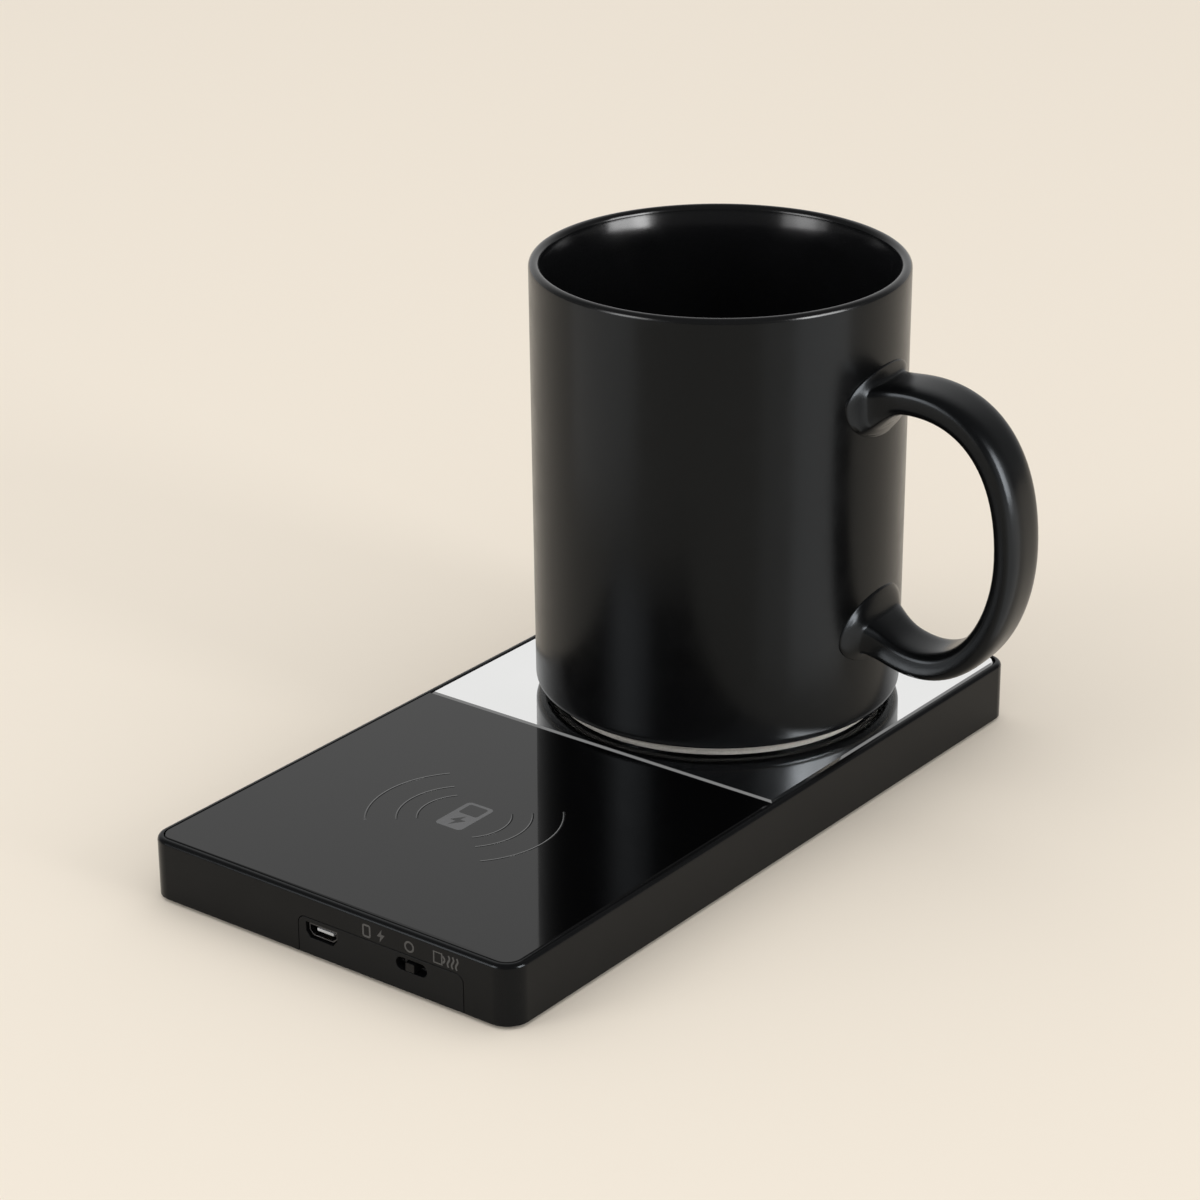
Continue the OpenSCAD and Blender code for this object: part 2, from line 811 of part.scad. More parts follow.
module switch_terminals() {
    color("#c8cacc")
        for (k = [0:terminal_count - 1])
            translate([switch_x + terminal_pitch * (k - (terminal_count - 1) / 2) - terminal_size[0] / 2,
                       switch_front + switch_depth, board_top])
                cube(terminal_size);
}

// The end of a wire that comes from behind and drops onto one of the board's solder pads
function to_pad(k) = [
    [pad_places[k], pad_row + pad_run, lead_level],
    [pad_places[k], pad_row, lead_level],
    [pad_places[k], pad_row, board_top]
];

module heater_leads() {
    y = plate_middle - heater_diameter / 2 - film_tab[1] / 2;
    starts = [-track_gap / 2 - track_width / 2, 0];
    color("#b03030")
        for (k = [0, 1])
            tube(rounded_route(concat(
                [[starts[k], y, track_bottom], [starts[k], y, lead_level]],
                to_pad(2 + k)), lead_bend), lead_diameter, lead_sides, [1, 0, 0]);
}

// The inner end drops through the ferrite's hole, the outer end leaves by the gap in the rim
module coil_leads() {
    middle = [coil_place[0], coil_place[1], coil_z];
    inner = middle + coil_ends[0];
    drop = inner + [inner_drop[0], inner_drop[1], 0];
    outer = middle + coil_ends[1];
    aside = coil_place[0] - ferrite_half - 2 * wire_diameter;
    color("#c77b3b") {
        tube(rounded_route(concat(
            [inner, inner + [0, inner_drop[1] / 3, 0], drop, [drop[0], drop[1], lead_level]],
            to_pad(1)), lead_bend), wire_diameter, lead_sides, [1, 0, 0]);
        tube(rounded_route([
            outer,
            outer - [0, lead_turn, 0],
            [aside, outer[1] - 2 * lead_turn, coil_z],
            [aside, outer[1] - 2 * lead_turn, lead_level],
            [pad_places[0], pad_row, lead_level],
            [pad_places[0], pad_row, board_top]
        ], lead_bend), wire_diameter, lead_sides, [1, 0, 0]);
    }
}

module thermistor_leads() {
    y = plate_middle - thermistor_length / 2;
    z = film_bottom - thermistor_diameter / 2;
    low = pad_bottom - fine_lead_diameter;
    color("#e0e0d8")
        for (k = [0, 1]) {
            x = thermistor_x + thermistor_pitch * (k - 0.5);
            tube(rounded_route(concat(
                [[x, y, z], [x, y - lead_turn, z], [x, y - 2 * lead_turn, low],
                 [x, plate_middle - support_diameter / 2 - lead_turn, low]],
                to_pad(4 + k)), lead_bend), fine_lead_diameter, lead_sides, [1, 0, 0]);
        }
}

module rubber_feet() {
    r = foot_diameter / 2;
    fillet = foot_proud / 2;
    profile = concat([[0, 0]], arc([r - fillet, fillet], fillet, -90, 0, 4),
                     [[r, foot_proud + foot_recess], [0, foot_proud + foot_recess]]);
    color("#18181a")
        for (p = foot_places) translate([p[0], p[1], 0]) rotate_extrude() polygon(profile);
}

// A pan-head screw pointing up, with its head's seat at zero
module screw(reach) {
    difference() {
        union() {
            translate([0, 0, -screw_head_height]) cylinder(d = screw_head, h = screw_head_height);
            translate([0, 0, -screw_head_height / 2])
                cylinder(d = screw_shank, h = reach + screw_head_height / 2);
        }
        for (a = [0, 90])
            rotate(a) translate([-screw_slot[0] / 2, -screw_slot[1] / 2, -screw_head_height - cut])
                cube([screw_slot[0], screw_slot[1], cut + screw_slot_depth]);
    }
}

module cover_screws() {
    color("#8d9093")
        for (p = screw_places)
            translate([p[0], p[1], bottom_z + screw_bore_depth]) screw(screw_reach);
}

module board_screws() {
    color("#8d9093")
        for (p = board_screw_places)
            translate([p[0], p[1], board_top]) mirror([0, 0, 1])
                screw(board_screw_reach - board_screw_tip_gap);
}

// Half of the mug's section: floor, foot ring, wall and rim
module mug_section() {
    foot_r = mug_wall_radius - foot_ring_inset;
    fillet = foot_ring_fillet;
    rim_r = mug_diameter / 2;
    base_z = foot_ring_height;
    inner_z = foot_ring_height + mug_floor;
    inner_r = mug_wall_radius - mug_wall;
    polygon(concat(
        [[0, base_z], [foot_r - foot_ring_width, base_z]],
        arc([foot_r - foot_ring_width + fillet, fillet], fillet, 180, 270, 3),
        arc([foot_r - fillet, fillet], fillet, 270, 360, 3),
        [[foot_r, base_z]],
        arc([mug_wall_radius - mug_edge_radius, base_z + mug_edge_radius], mug_edge_radius, 270, 360),
        arc([rim_r - rim_fillet, mug_height - rim_fillet], rim_fillet, 0, 180),
        [for (k = [1:lip_steps])
            [rim_r - mug_wall + lip_taper * pow(1 - k / lip_steps, 2),
             mug_height - rim_fillet - lip_depth * k / lip_steps]],
        arc([inner_r - mug_inner_radius, inner_z + mug_inner_radius], mug_inner_radius, 360, 270),
        [[0, inner_z]]
    ));
}

// Middle line of the handle's strap, in the upright plane through the mug's axis
root_r = mug_wall_radius - root_depth;
handle_tip = [mug_wall_radius + handle_reach, handle_middle];
upper_curve = [
    [root_r, handle_upper],
    [root_r, handle_upper] + upper_pull * [cos(handle_rise), sin(handle_rise)],
    handle_tip + [0, upper_tip_pull],
    handle_tip
];
lower_curve = [
    handle_tip,
    handle_tip - [0, lower_tip_pull],
    [root_r, handle_lower] + lower_pull * [cos(handle_drop), -sin(handle_drop)],
    [root_r, handle_lower]
];
strap_line = concat(
    [for (i = [0:strap_steps]) bezier(upper_curve, pow(i / strap_steps, strap_ease))],
    [for (i = [1:strap_steps]) bezier(lower_curve, 1 - pow(1 - i / strap_steps, strap_ease))]
);

// Radius of the mug's wall at a height
function wall_at(z) = mug_wall_radius + (mug_diameter - mug_lower_diameter) / 2 * z / mug_height;

// Share of a flare that is left at a point of the line: 1 at the wall, 0 past the reach
function flare(p, reach) = 1 - min(max((p[0] - wall_at(p[1]) - collar_proud) / reach, 0), 1);

// One ring of the strap: square to the line, but upright and bent to the wall where it spreads
// into its collar; the two end rings lie inside the wall and stay flat
function strap_ring(i) =
    let (
        p = strap_line[i],
        last = len(strap_line) - 1,
        d = strap_line[min(i + 1, last)] - strap_line[max(i - 1, 0)],
        inside = i == 0 || i == last,
        near = flare(p, root_flare),
        spread = inside ? 0 : pow(flare(p, collar_reach), 2),
        upper = i < last / 2,
        thicken = inside ? 0 : root_thicken[upper ? 0 : 1] * near * near * (1 - spread),
        straight = upper ? 0 : 180,
        way = atan2(d[1], d[0]),
        a = near > 0 ? straight + (way - straight) * (1 - near * near) : way,
        across = [-sin(a), cos(a)],
        width = handle_width + (inside ? 0 : (root_width - handle_width) * pow(near, 3)),
        half = [handle_thickness + (collar_height - handle_thickness) * spread,
                width + (collar_width - width) * spread] / 2,
        e = 2 / (strap_squareness + (collar_squareness - strap_squareness) * spread)
    )
    [
        for (j = [0:strap_sides - 1])
            let (
                c = cos(360 * j / strap_sides),
                s = sin(360 * j / strap_sides),
                rise = half[0] + (c < 0 ? thicken : 0) - collar_shift * spread * sign(c),
                n = rise * sign(c) * pow(abs(c), e),
                side = half[1] * sign(s) * pow(abs(s), e),
                sag = mug_wall_radius - sqrt(pow(mug_wall_radius, 2) - side * side)
            )
            [p[0] + n * across[0] - (inside ? 0 : sag * near), side, p[1] + n * across[1]]
    ];

module handle_strap() {
    polyhedron([for (i = [0:len(strap_line) - 1]) each strap_ring(i)],
               skin_faces(len(strap_line), strap_sides));
}

module mug() {
    color("#232325") translate([mug_x, mug_y, mug_z]) rotate(handle_turn) union() {
        rotate_extrude($fn = 96) mug_section();
        handle_strap();
    }
}

top_housing();
bottom_cover();
charging_glass();
heating_plate();
glass_tape();
plate_seal();
heater_film();
heater_trace();
insulation_pad();
thermistor();
thermal_fuse();
charging_coil();
ferrite_sheet();
circuit_board();
controller_chip();
driver_chips();
resonant_capacitors();
power_inductor();
usb_shell();
usb_insert();
usb_contacts();
switch_frame();
switch_slider();
switch_terminals();
heater_leads();
coil_leads();
thermistor_leads();
rubber_feet();
cover_screws();
board_screws();
mug();
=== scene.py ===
"""Looks of a glazed mug on a flat base with a polished warming plate and a charging glass."""

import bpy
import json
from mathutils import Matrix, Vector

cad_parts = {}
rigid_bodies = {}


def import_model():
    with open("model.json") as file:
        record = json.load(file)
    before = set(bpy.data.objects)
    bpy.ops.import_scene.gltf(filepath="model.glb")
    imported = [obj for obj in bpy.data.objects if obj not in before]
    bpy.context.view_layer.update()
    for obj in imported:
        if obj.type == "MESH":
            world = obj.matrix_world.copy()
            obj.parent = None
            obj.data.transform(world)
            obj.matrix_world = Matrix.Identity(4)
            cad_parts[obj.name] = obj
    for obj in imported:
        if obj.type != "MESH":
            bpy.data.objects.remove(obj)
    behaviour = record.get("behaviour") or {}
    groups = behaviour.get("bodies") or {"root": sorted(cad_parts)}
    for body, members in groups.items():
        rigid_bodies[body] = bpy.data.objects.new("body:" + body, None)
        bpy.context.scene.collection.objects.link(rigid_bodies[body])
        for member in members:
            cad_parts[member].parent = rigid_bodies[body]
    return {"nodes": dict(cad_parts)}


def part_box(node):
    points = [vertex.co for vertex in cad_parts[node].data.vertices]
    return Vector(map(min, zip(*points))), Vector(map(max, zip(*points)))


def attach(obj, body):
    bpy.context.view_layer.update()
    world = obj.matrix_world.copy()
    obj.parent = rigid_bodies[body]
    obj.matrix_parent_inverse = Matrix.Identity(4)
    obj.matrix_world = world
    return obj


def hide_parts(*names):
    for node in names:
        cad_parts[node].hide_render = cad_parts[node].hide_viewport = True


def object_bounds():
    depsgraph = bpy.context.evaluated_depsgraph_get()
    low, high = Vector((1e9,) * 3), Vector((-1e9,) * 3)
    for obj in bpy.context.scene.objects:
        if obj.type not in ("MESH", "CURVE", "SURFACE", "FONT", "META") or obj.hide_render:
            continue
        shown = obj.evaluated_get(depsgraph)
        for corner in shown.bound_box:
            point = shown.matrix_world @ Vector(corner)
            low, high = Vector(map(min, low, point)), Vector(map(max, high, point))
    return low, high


bl_info = {
    "name": "Mug on a warming and charging base",
    "version": (1, 0, 0),
    "blender": (4, 5, 0),
    "location": "3D View > Sidebar > Mug Base",
    "description": "Glaze, glass, polished plate, prints and fittings of a mug and its warming base",
    "category": "Object",
}

import json
import math

import bmesh
import bpy
from bpy.props import FloatProperty, FloatVectorProperty, PointerProperty
from mathutils import Matrix, Vector

for leftover in list(bpy.data.objects):
    bpy.data.objects.remove(leftover)
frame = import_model()
CAD_BOX = [list(corner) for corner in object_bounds()]
NODES = frame["nodes"]

# Places that the frame gives
MM = 0.001
MUG_LOW, MUG_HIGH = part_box("mug")
GLASS_LOW, GLASS_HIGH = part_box("charging_glass")
HOUSING_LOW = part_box("top_housing")[0]
FEET_LOW, FEET_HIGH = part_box("rubber_feet")
SCREWS_LOW, SCREWS_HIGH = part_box("cover_screws")
COIL_LOW, COIL_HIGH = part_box("charging_coil")

# Fineness of the meshes
MUG_SEGMENTS = 240
WALL_ROWS = 64
FLOOR_ROWS = 6
ARC_STEPS = 14
FILLET_STEPS = 6
LIP_STEPS = 10
STRAP_SIDES = 64
STRAP_STEPS = 48
COLLAR_ROWS = 26
COLLAR_SHARES = (0.026, 0.078)
SCREW_SEGMENTS = 32
FOOT_SEGMENTS = 64
SIGN_ARC_POINTS = 64
BEVEL_STEPS = 2
FLAT_FACE_WEIGHT = 100
SMOOTH_ANGLE = math.radians(32)
COIL_SMOOTH_ANGLE = math.radians(60)
FLAT_ANGLE = math.radians(0.4)
MERGE_DISTANCE = 1e-6

# The mug's foot ring, the height at which its glaze ends, and the rim's first steps, which are still satin
FOOT_FILLET = 0.6 * MM
GLAZE_LINE = 1.0 * MM
SATIN_RIM_STEPS = 3

# The handle's strap: pulls of its two curves, squareness of its section and the collars at its roots
UPPER_PULL = 21 * MM
UPPER_TIP_PULL = 25 * MM
LOWER_TIP_PULL = 19 * MM
LOWER_PULL = 26.5 * MM
STRAP_SQUARENESS = 4.2
BEND_SQUARENESS = 2.8
STRAP_EASE = 1.6
ROOT_THICKEN = (4.5 * MM, 1.5 * MM)
COLLAR_SQUARENESS = 2
COLLAR_REACH = 1 * MM
COLLAR_SHIFT = 1.2 * MM
COLLAR_PROUD = 0.4 * MM
COLLAR_EDGE = 0.45 * MM

# Finishes: tint of the black parts' gloss, tones as shares of others (among them the inside glaze,
# lightened as painted light for its dim hollow), stretches of the noise, shared tones
BLACK_TINT = (0.87, 0.935, 1.0)
INSIDE_PAINTED_LIGHT = 2
FAINT_INK = 0.13
DARK_INK = 6
NOISE_REACH = (0.3, 0.7)
TONE_REACH = (0.35, 0.65)
SLOW_RATIO = 14
PALE_GREY = (0.5, 0.51, 0.52)
EVEN = (1, 1, 1)

# The sign on the glass: a telephone with its window and flash
PRINT_DEPTH = 0.02 * MM
OVERPRINT_DEPTH = 1.5 * PRINT_DEPTH
SIGN_CENTRE = Vector((-1.0, -45.2)) * MM
PHONE_WIDTH = 6.9 * MM
PHONE_LENGTH = 11.7 * MM
PHONE_RADIUS = 1.1 * MM
WINDOW_WIDTH = 0.7 * PHONE_WIDTH
WINDOW_LENGTH = 0.36 * PHONE_LENGTH
WINDOW_RADIUS = PHONE_RADIUS / 2
WINDOW_RISE = PHONE_LENGTH / 4
FLASH_LENGTH = 0.42 * PHONE_LENGTH
FLASH_DROP = 0.2 * PHONE_LENGTH

# The labels over the switch
LABEL_HEIGHT = 2.9 * MM
LABEL_MIDDLE = 11.05 * MM
LABEL_STROKE = 0.42 * MM
LABEL_PHONE = 11.4 * MM
LABEL_PHONE_WIDTH = 0.6 * LABEL_HEIGHT
LABEL_PHONE_RADIUS = 0.14 * LABEL_HEIGHT
LABEL_FLASH = 15.1 * MM
LABEL_RING = 22.4 * MM
LABEL_RING_RADIUS = 0.36 * LABEL_HEIGHT
LABEL_RING_SWEEP = 345
LABEL_RING_STEPS = 24
LABEL_CUP = 29.8 * MM
CUP_LEFT = 0.4 * LABEL_HEIGHT
CUP_RIGHT = 0.3 * LABEL_HEIGHT
CUP_TOP = 0.4 * LABEL_HEIGHT
CUP_BOTTOM = -0.42 * LABEL_HEIGHT
CUP_EAR_RADIUS = 0.24 * LABEL_HEIGHT
CUP_EAR_HALF = 80
CUP_EAR_STEPS = 10
LABEL_STEAM = 33.4 * MM
STEAM_GAP = 0.36 * LABEL_HEIGHT
STEAM_SWING = 0.09 * LABEL_HEIGHT
STEAM_HEIGHT = 0.9 * LABEL_HEIGHT
STEAM_STEPS = 12

# Edges of sheet metal and of the switch's nub, as shares of the moulded edge
SHEET_EASE = 0.5
NUB_EASE = 1.5

# Fasteners and the coil
SCREW_HEAD_RADIUS = 1.9 * MM
SCREW_HEAD_HEIGHT = 1.2 * MM
SCREW_HEAD_EDGE = 0.5 * MM
SCREW_SHANK_RADIUS = 0.95 * MM
SCREW_TIP_RADIUS = SCREW_SHANK_RADIUS / 3
SCREW_POINT = 0.6 * MM
SCREW_COLUMNS, SCREW_ROWS = 2, 3
CROSS_LENGTH = 2.5 * MM
CROSS_WIDTH = 0.6 * MM
CROSS_DEPTH = 0.6 * MM
FOOT_RADIUS = 5 * MM
FOOT_EDGE = 0.35 * MM
FOOT_COLUMNS, FOOT_ROWS = 2, 2
COIL_TURNS = 10
COIL_TURN_POINTS = 72
COIL_INNER_RADIUS = 10.2 * MM
COIL_WIRE = 1.0 * MM
COIL_LAY = 9 * MM
OUTER_STRANDS = 6
STRANDS_ACROSS = 3
STRAND_SIDES = 8

# The stage in metres, and where the pale wall begins and is whole, as cosines from the line of sight
FLOOR_HALF = 4.0
LAMP_DISTANCE = 1.4
GLOW_DISTANCE = 1.35
LAMP_MIDDLE = 0.5
LAMP_HEIGHT = 0.78
LEFT_CARD_DISTANCE = 0.2
RIGHT_CARD_DISTANCE = 0.1
CARD_MIDDLE = 0.05
CARD_HEIGHT = 0.1
WALL_REACH = (0.35, 0.9)

# The camera that the photograph was taken with
CAMERA_TARGET = Vector((-9.66, 12.883, 40.8)) * MM
CAMERA_DISTANCE = 783.07 * MM
CAMERA_AZIMUTH = math.radians(37.472)
CAMERA_ELEVATION = math.radians(23.203)
CAMERA_ROLL = math.radians(-0.402)
CAMERA_LENS = 107.67
CAMERA_SENSOR = 36.0


def length(name, description, default):
    """A size that a user may change."""
    return FloatProperty(
        name=name, description=description, default=default, min=0, unit="LENGTH", precision=5
    )


def angle(name, description, degrees):
    """An angle that a user may change."""
    return FloatProperty(name=name, description=description, default=math.radians(degrees), subtype="ANGLE")


def colour(name, description, default):
    """A colour that a user may change."""
    return FloatVectorProperty(
        name=name, description=description, default=default, size=3, min=0, max=1, subtype="COLOR"
    )


def light(name, description, default):
    """A brightness that a user may change."""
    return FloatProperty(name=name, description=description, default=default)


class MugSizes(bpy.types.PropertyGroup):
    """Sizes and glazes of the mug."""

    rim_diameter: length("Rim", "Outer diameter at the rim", 82.4 * MM)
    lower_diameter: length("Lower wall", "Outer diameter above the lower edge", 81.4 * MM)
    wall: length("Wall", "Thickness of the wall", 3.5 * MM)
    floor: length("Floor", "Thickness of the floor", 4.5 * MM)
    lip_taper: length("Lip", "Thinning of the wall inside the lip", 1.1 * MM)
    lip_depth: length("Lip depth", "Depth of the lip's thinning below the rim", 7 * MM)
    edge_radius: length("Lower edge", "Radius of the lower outer edge", 2.2 * MM)
    inner_radius: length("Inner corner", "Radius between wall and floor inside", 9 * MM)
    foot_inset: length("Foot inset", "Distance of the foot ring in from the wall", 4 * MM)
    foot_width: length("Foot width", "Width of the foot ring", 4 * MM)
    foot_height: length("Foot height", "Height of the foot ring", 1.5 * MM)
    strap_width: length("Strap width", "Width of the handle's strap", 13.5 * MM)
    strap_thickness: length("Strap thickness", "Thickness of the handle's strap", 6.4 * MM)
    reach: length("Reach", "Reach of the strap's middle from the wall", 32.5 * MM)
    upper_root: length("Upper root", "Height of the handle's upper root", 75.8 * MM)
    lower_root: length("Lower root", "Height of the handle's lower root", 24.2 * MM)
    tip_height: length("Tip", "Height of the handle's outermost point", 46.8 * MM)
    flare: length("Flare", "Length over which the roots flare out", 7 * MM)
    root_width: length("Root width", "Width of the strap where it meets its collars", 19.5 * MM)
    collar_width: length("Collar width", "Width of the collars where the roots meet the wall", 26.5 * MM)
    collar_height: length("Collar height", "Height of the collars where the roots meet the wall", 15.6 * MM)
    rise: angle("Rise", "Slope of the strap at its upper root", 18)
    drop: angle("Drop", "Slope of the strap at its lower root", 37)
    turn: angle("Turn", "Direction of the handle", 4)
    glaze: colour("Glaze", "Colour of the glaze", (0.0024, 0.0025, 0.0027))
    clay: colour("Clay", "Colour of the bare foot ring", (0.5, 0.48, 0.445))


class BaseFinishes(bpy.types.PropertyGroup):
    """Colours and edges of the base."""

    plastic: colour("Plastic", "Colour of the housing and cover", (0.0045, 0.0045, 0.0047))
    glass: colour("Glass", "Colour behind the charging glass", (0.0010, 0.0010, 0.0011))
    plate: colour("Plate", "Colour of the polished plate", (0.95, 0.95, 0.945))
    sign_print: colour("Sign", "Colour of the sign on the glass", (0.10, 0.10, 0.103))
    label_print: colour("Labels", "Colour of the labels on the front", (0.05, 0.05, 0.051))
    rubber: colour("Rubber", "Colour of the feet", (0.012, 0.012, 0.013))
    edge: length("Edge", "Rounding of the moulded edges", 0.12 * MM)
    arc_inner: length("Inner arc", "Radius of the sign's inner arcs", 9.9 * MM)
    arc_middle: length("Middle arc", "Radius of the sign's middle arcs", 14.2 * MM)
    arc_outer: length("Outer arc", "Radius of the sign's outer arcs", 20.7 * MM)
    arc_stroke: length("Stroke", "Width of the sign's lines", 0.45 * MM)
    arc_half: angle("Half arc", "Half of each arc's angle", 42)


class StageLook(bpy.types.PropertyGroup):
    """Floor and light."""

    ground: colour("Ground", "Colour of the floor", (0.87, 0.79, 0.68))
    surroundings: colour("Surroundings", "Colour of the pale wall behind the object", (0.85, 0.85, 0.845))
    room: colour("Room", "Colour of the dimmer room that shiny parts see", (0.22, 0.22, 0.22))
    world_light: light("Surrounding light", "Strength of the even light", 0.9)
    left_light: light("Left light", "Brightness of the left lamp", 3.3)
    right_light: light("Right light", "Brightness of the right lamp", 7)
    left_glow: light("Left glow", "What shiny surfaces see beside the left lamp", 6)
    right_glow: light("Right glow", "What shiny surfaces see beside the right lamp", 15)
    left_card: light("Left card", "Brightness of the card at the mug's left", 0.65)
    right_card: light("Right card", "Brightness of the cards at the mug's right", 0.75)


def settings(group):
    """One group of the user's settings."""
    return getattr(bpy.context.scene, group)


# Nodes of materials, of the world and of Geometry Nodes


def feed(tree, node, **feeds):
    """Feeds a node's inputs, each by another node's output or by a value."""
    for label, value in feeds.items():
        socket = node.inputs[label.replace("_", " ")]
        if isinstance(value, bpy.types.NodeSocket):
            tree.links.new(value, socket)
        else:
            socket.default_value = value


def step(tree, kind, **feeds):
    """The outputs of a new node in a material's, a world's or a Geometry Nodes tree."""
    node = tree.nodes.new(tree.bl_idname.removesuffix("Tree") + kind)
    feed(tree, node, **feeds)
    return node.outputs


def reckoned(tree, operation, first, second):
    """The result of an operation on an output and another output or a number."""
    node = tree.nodes.new("ShaderNodeMath")
    node.operation = operation
    tree.links.new(first, node.inputs[0])
    if isinstance(second, bpy.types.NodeSocket):
        tree.links.new(second, node.inputs[1])
    else:
        node.inputs[1].default_value = second
    return node.outputs["Value"]


# Materials


def new_material(name, metallic=0.0, specular=0.5, coat=0.0, tint=EVEN):
    """A material with its shader's even values set."""
    material = bpy.data.materials.new(name)
    material.use_nodes = True
    shader = material.node_tree.nodes["Principled BSDF"]
    feed(
        material.node_tree, shader, Metallic=metallic, Specular_IOR_Level=specular,
        Specular_Tint=(*tint, 1), Coat_Weight=coat,
    )
    return material, shader


def noise(material, scale, detail=3, stretch=EVEN):
    """Noise over the object's own coordinates, per metre, drawn out along an axis by stretch."""
    tree = material.node_tree
    place = step(tree, "TexCoord")["Object"]
    drawn = step(tree, "Mapping", Vector=place, Scale=stretch)["Vector"]
    return step(tree, "TexNoise", Vector=drawn, Scale=scale, Detail=detail)["Fac"]


def spread(material, value, low, high, reach=NOISE_REACH):
    """A noise value brought to a range."""
    start, end = reach
    feeds = {"Value": value, "From_Min": start, "From_Max": end, "To_Min": low, "To_Max": high}
    return step(material.node_tree, "MapRange", **feeds)["Result"]


def between(material, value, first, second):
    """A colour between two, by a noise value."""
    ramp = material.node_tree.nodes.new("ShaderNodeValToRGB")
    for stop, position, tone in zip(ramp.color_ramp.elements, TONE_REACH, (first, second)):
        stop.position = position
        stop.color = (*tone, 1)
    feed(material.node_tree, ramp, Fac=value)
    return ramp.outputs["Color"]


def toned(tone, factor):
    """A tone made darker or lighter."""
    return [channel * factor for channel in tone]


def paint(material, shader, tone, shade, cloud, grain, roughness, reach=NOISE_REACH):
    """A tone that one noise darkens by up to a shade, and a roughness that another noise varies."""
    feed(
        material.node_tree, shader,
        Base_Color=between(material, cloud, toned(tone, 1 - shade), tone),
        Roughness=spread(material, grain, *roughness, reach),
    )


def raise_surface(material, shader, height, depth, strength=1.0, under=None):
    """Bump of the given depth, laid over another bump where one is given."""
    tree = material.node_tree
    below = {} if under is None else {"Normal": under}
    normal = step(tree, "Bump", Height=height, Distance=depth, Strength=strength, **below)["Normal"]
    feed(tree, shader, Normal=normal)
    return normal


def finish(name, tone, roughness, grain, depth, shade=0.25, stretch=EVEN, **surface):
    """A moulded, fired or plated finish: slow changes of tone, a band of roughness and a fine grain."""
    material, shader = new_material(name, **surface)
    slow = noise(material, grain / SLOW_RATIO, detail=2)
    fine = noise(material, grain, detail=4, stretch=stretch)
    paint(material, shader, tone, shade, slow, fine, roughness)
    raise_surface(material, shader, fine, depth)
    return material


def glaze_outside():
    """Satin black glaze, a little uneven, as it comes from the kiln."""
    material, shader = new_material("satin_glaze", specular=0.18, tint=BLACK_TINT)
    paint(
        material, shader, settings("mug_sizes").glaze, shade=0.18,
        cloud=noise(material, 45), grain=noise(material, 160, detail=4), roughness=(0.21, 0.27),
    )
    wave = raise_surface(material, shader, noise(material, 70, detail=1), depth=0.05 * MM, strength=0.35)
    raise_surface(material, shader, noise(material, 1500), depth=0.012 * MM, strength=0.5, under=wave)
    return material


def glaze_inside():
    """The same glaze fired glossier, inside and over the rim, its colour made lighter as painted light for
    the dim inside.
    """
    material, shader = new_material("gloss_glaze", specular=0.28)
    paint(
        # Painted light: the glaze's colour is multiplied up here so that the shaded inside of the mug looks
        # lit.
        material, shader, toned(settings("mug_sizes").glaze, INSIDE_PAINTED_LIGHT), shade=0.2,
        cloud=noise(material, 45), grain=noise(material, 160, detail=4), roughness=(0.15, 0.2),
    )
    raise_surface(material, shader, noise(material, 90, detail=2), depth=0.05 * MM, strength=0.35)
    return material


def bare_clay():
    """Unglazed clay of the foot ring, with darker specks."""
    material, shader = new_material("bare_clay", specular=0.0)
    speck = noise(material, 2600, detail=5)
    paint(
        material, shader, settings("mug_sizes").clay, shade=0.2,
        cloud=speck, grain=noise(material, 900), roughness=(0.7, 0.9),
    )
    raise_surface(material, shader, speck, depth=0.03 * MM, strength=0.6)
    return material


def polished_glass(name, tone):
    """Glass over one colour, or a print as smooth as the glass, with the faint smears of handling."""
    material, shader = new_material(name, specular=0.3)
    smear = noise(material, 28, detail=5, stretch=(1, 0.35, 1))
    paint(
        material, shader, tone, shade=0.2,
        cloud=noise(material, 30, detail=2), grain=smear, roughness=(0.022, 0.05), reach=(0.4, 0.8),
    )
    return material


def polished_plate():
    """Mirror-polished metal with hair-fine polishing lines."""
    material, shader = new_material("polished_plate", metallic=1.0)
    hairs = noise(material, 420, stretch=(0.02, 1, 1))
    paint(
        material, shader, settings("base_finishes").plate, shade=0.03,
        cloud=noise(material, 24, detail=2), grain=hairs, roughness=(0.02, 0.05),
    )
    return material


def moulded_plastic(name, roughness):
    """Black moulding with a fine spark-eroded texture."""
    tone = settings("base_finishes").plastic
    return finish(name, tone, roughness, 2400, 0.0015 * MM, shade=0.15, specular=0.14, tint=BLACK_TINT)


def print_ink(name, tone):
    """Screen print, slightly uneven."""
    return finish(name, tone, (0.35, 0.5), 3000, 0.003 * MM, shade=0.12, specular=0.4)


def plated(name, tone, roughness):
    """Plated sheet metal with a fine drawn grain."""
    return finish(name, tone, roughness, 1800, 0.002 * MM, shade=0.12, metallic=1.0, stretch=(0.15, 1, 1))


def circuit_mask():
    """Green solder mask over a net of tracks."""
    material, shader = new_material("board_mask", coat=0.2)
    tree = material.node_tree
    tracks = step(
        tree, "TexBrick", Vector=step(tree, "TexCoord")["Object"], Scale=90, Mortar_Size=0.05,
        Color1=(0.008, 0.10, 0.035, 1), Color2=(0.010, 0.12, 0.042, 1), Mortar=(0.03, 0.19, 0.07, 1),
    )
    roughness = spread(material, noise(material, 900), 0.25, 0.4)
    feed(tree, shader, Base_Color=tracks["Color"], Roughness=roughness)
    raise_surface(material, shader, tracks["Fac"], depth=0.03 * MM, strength=0.6)
    return material


# Pieces and meshes


def show(name, mesh, body, replaced=(), materials=()):
    """Puts a finished mesh in the scene as a piece that rides on a body."""
    piece = bpy.data.objects.new(name, mesh)
    bpy.context.scene.collection.objects.link(piece)
    for i, material in enumerate(materials):
        if i < len(mesh.materials):
            mesh.materials[i] = material
        else:
            mesh.materials.append(material)
    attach(piece, body)
    if replaced:
        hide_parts(*replaced)
    return piece


def show_eased(name, node, width, body, material):
    """Puts a node's eased copy in its place."""
    return show(name, eased(node, width), body, [node], [material])


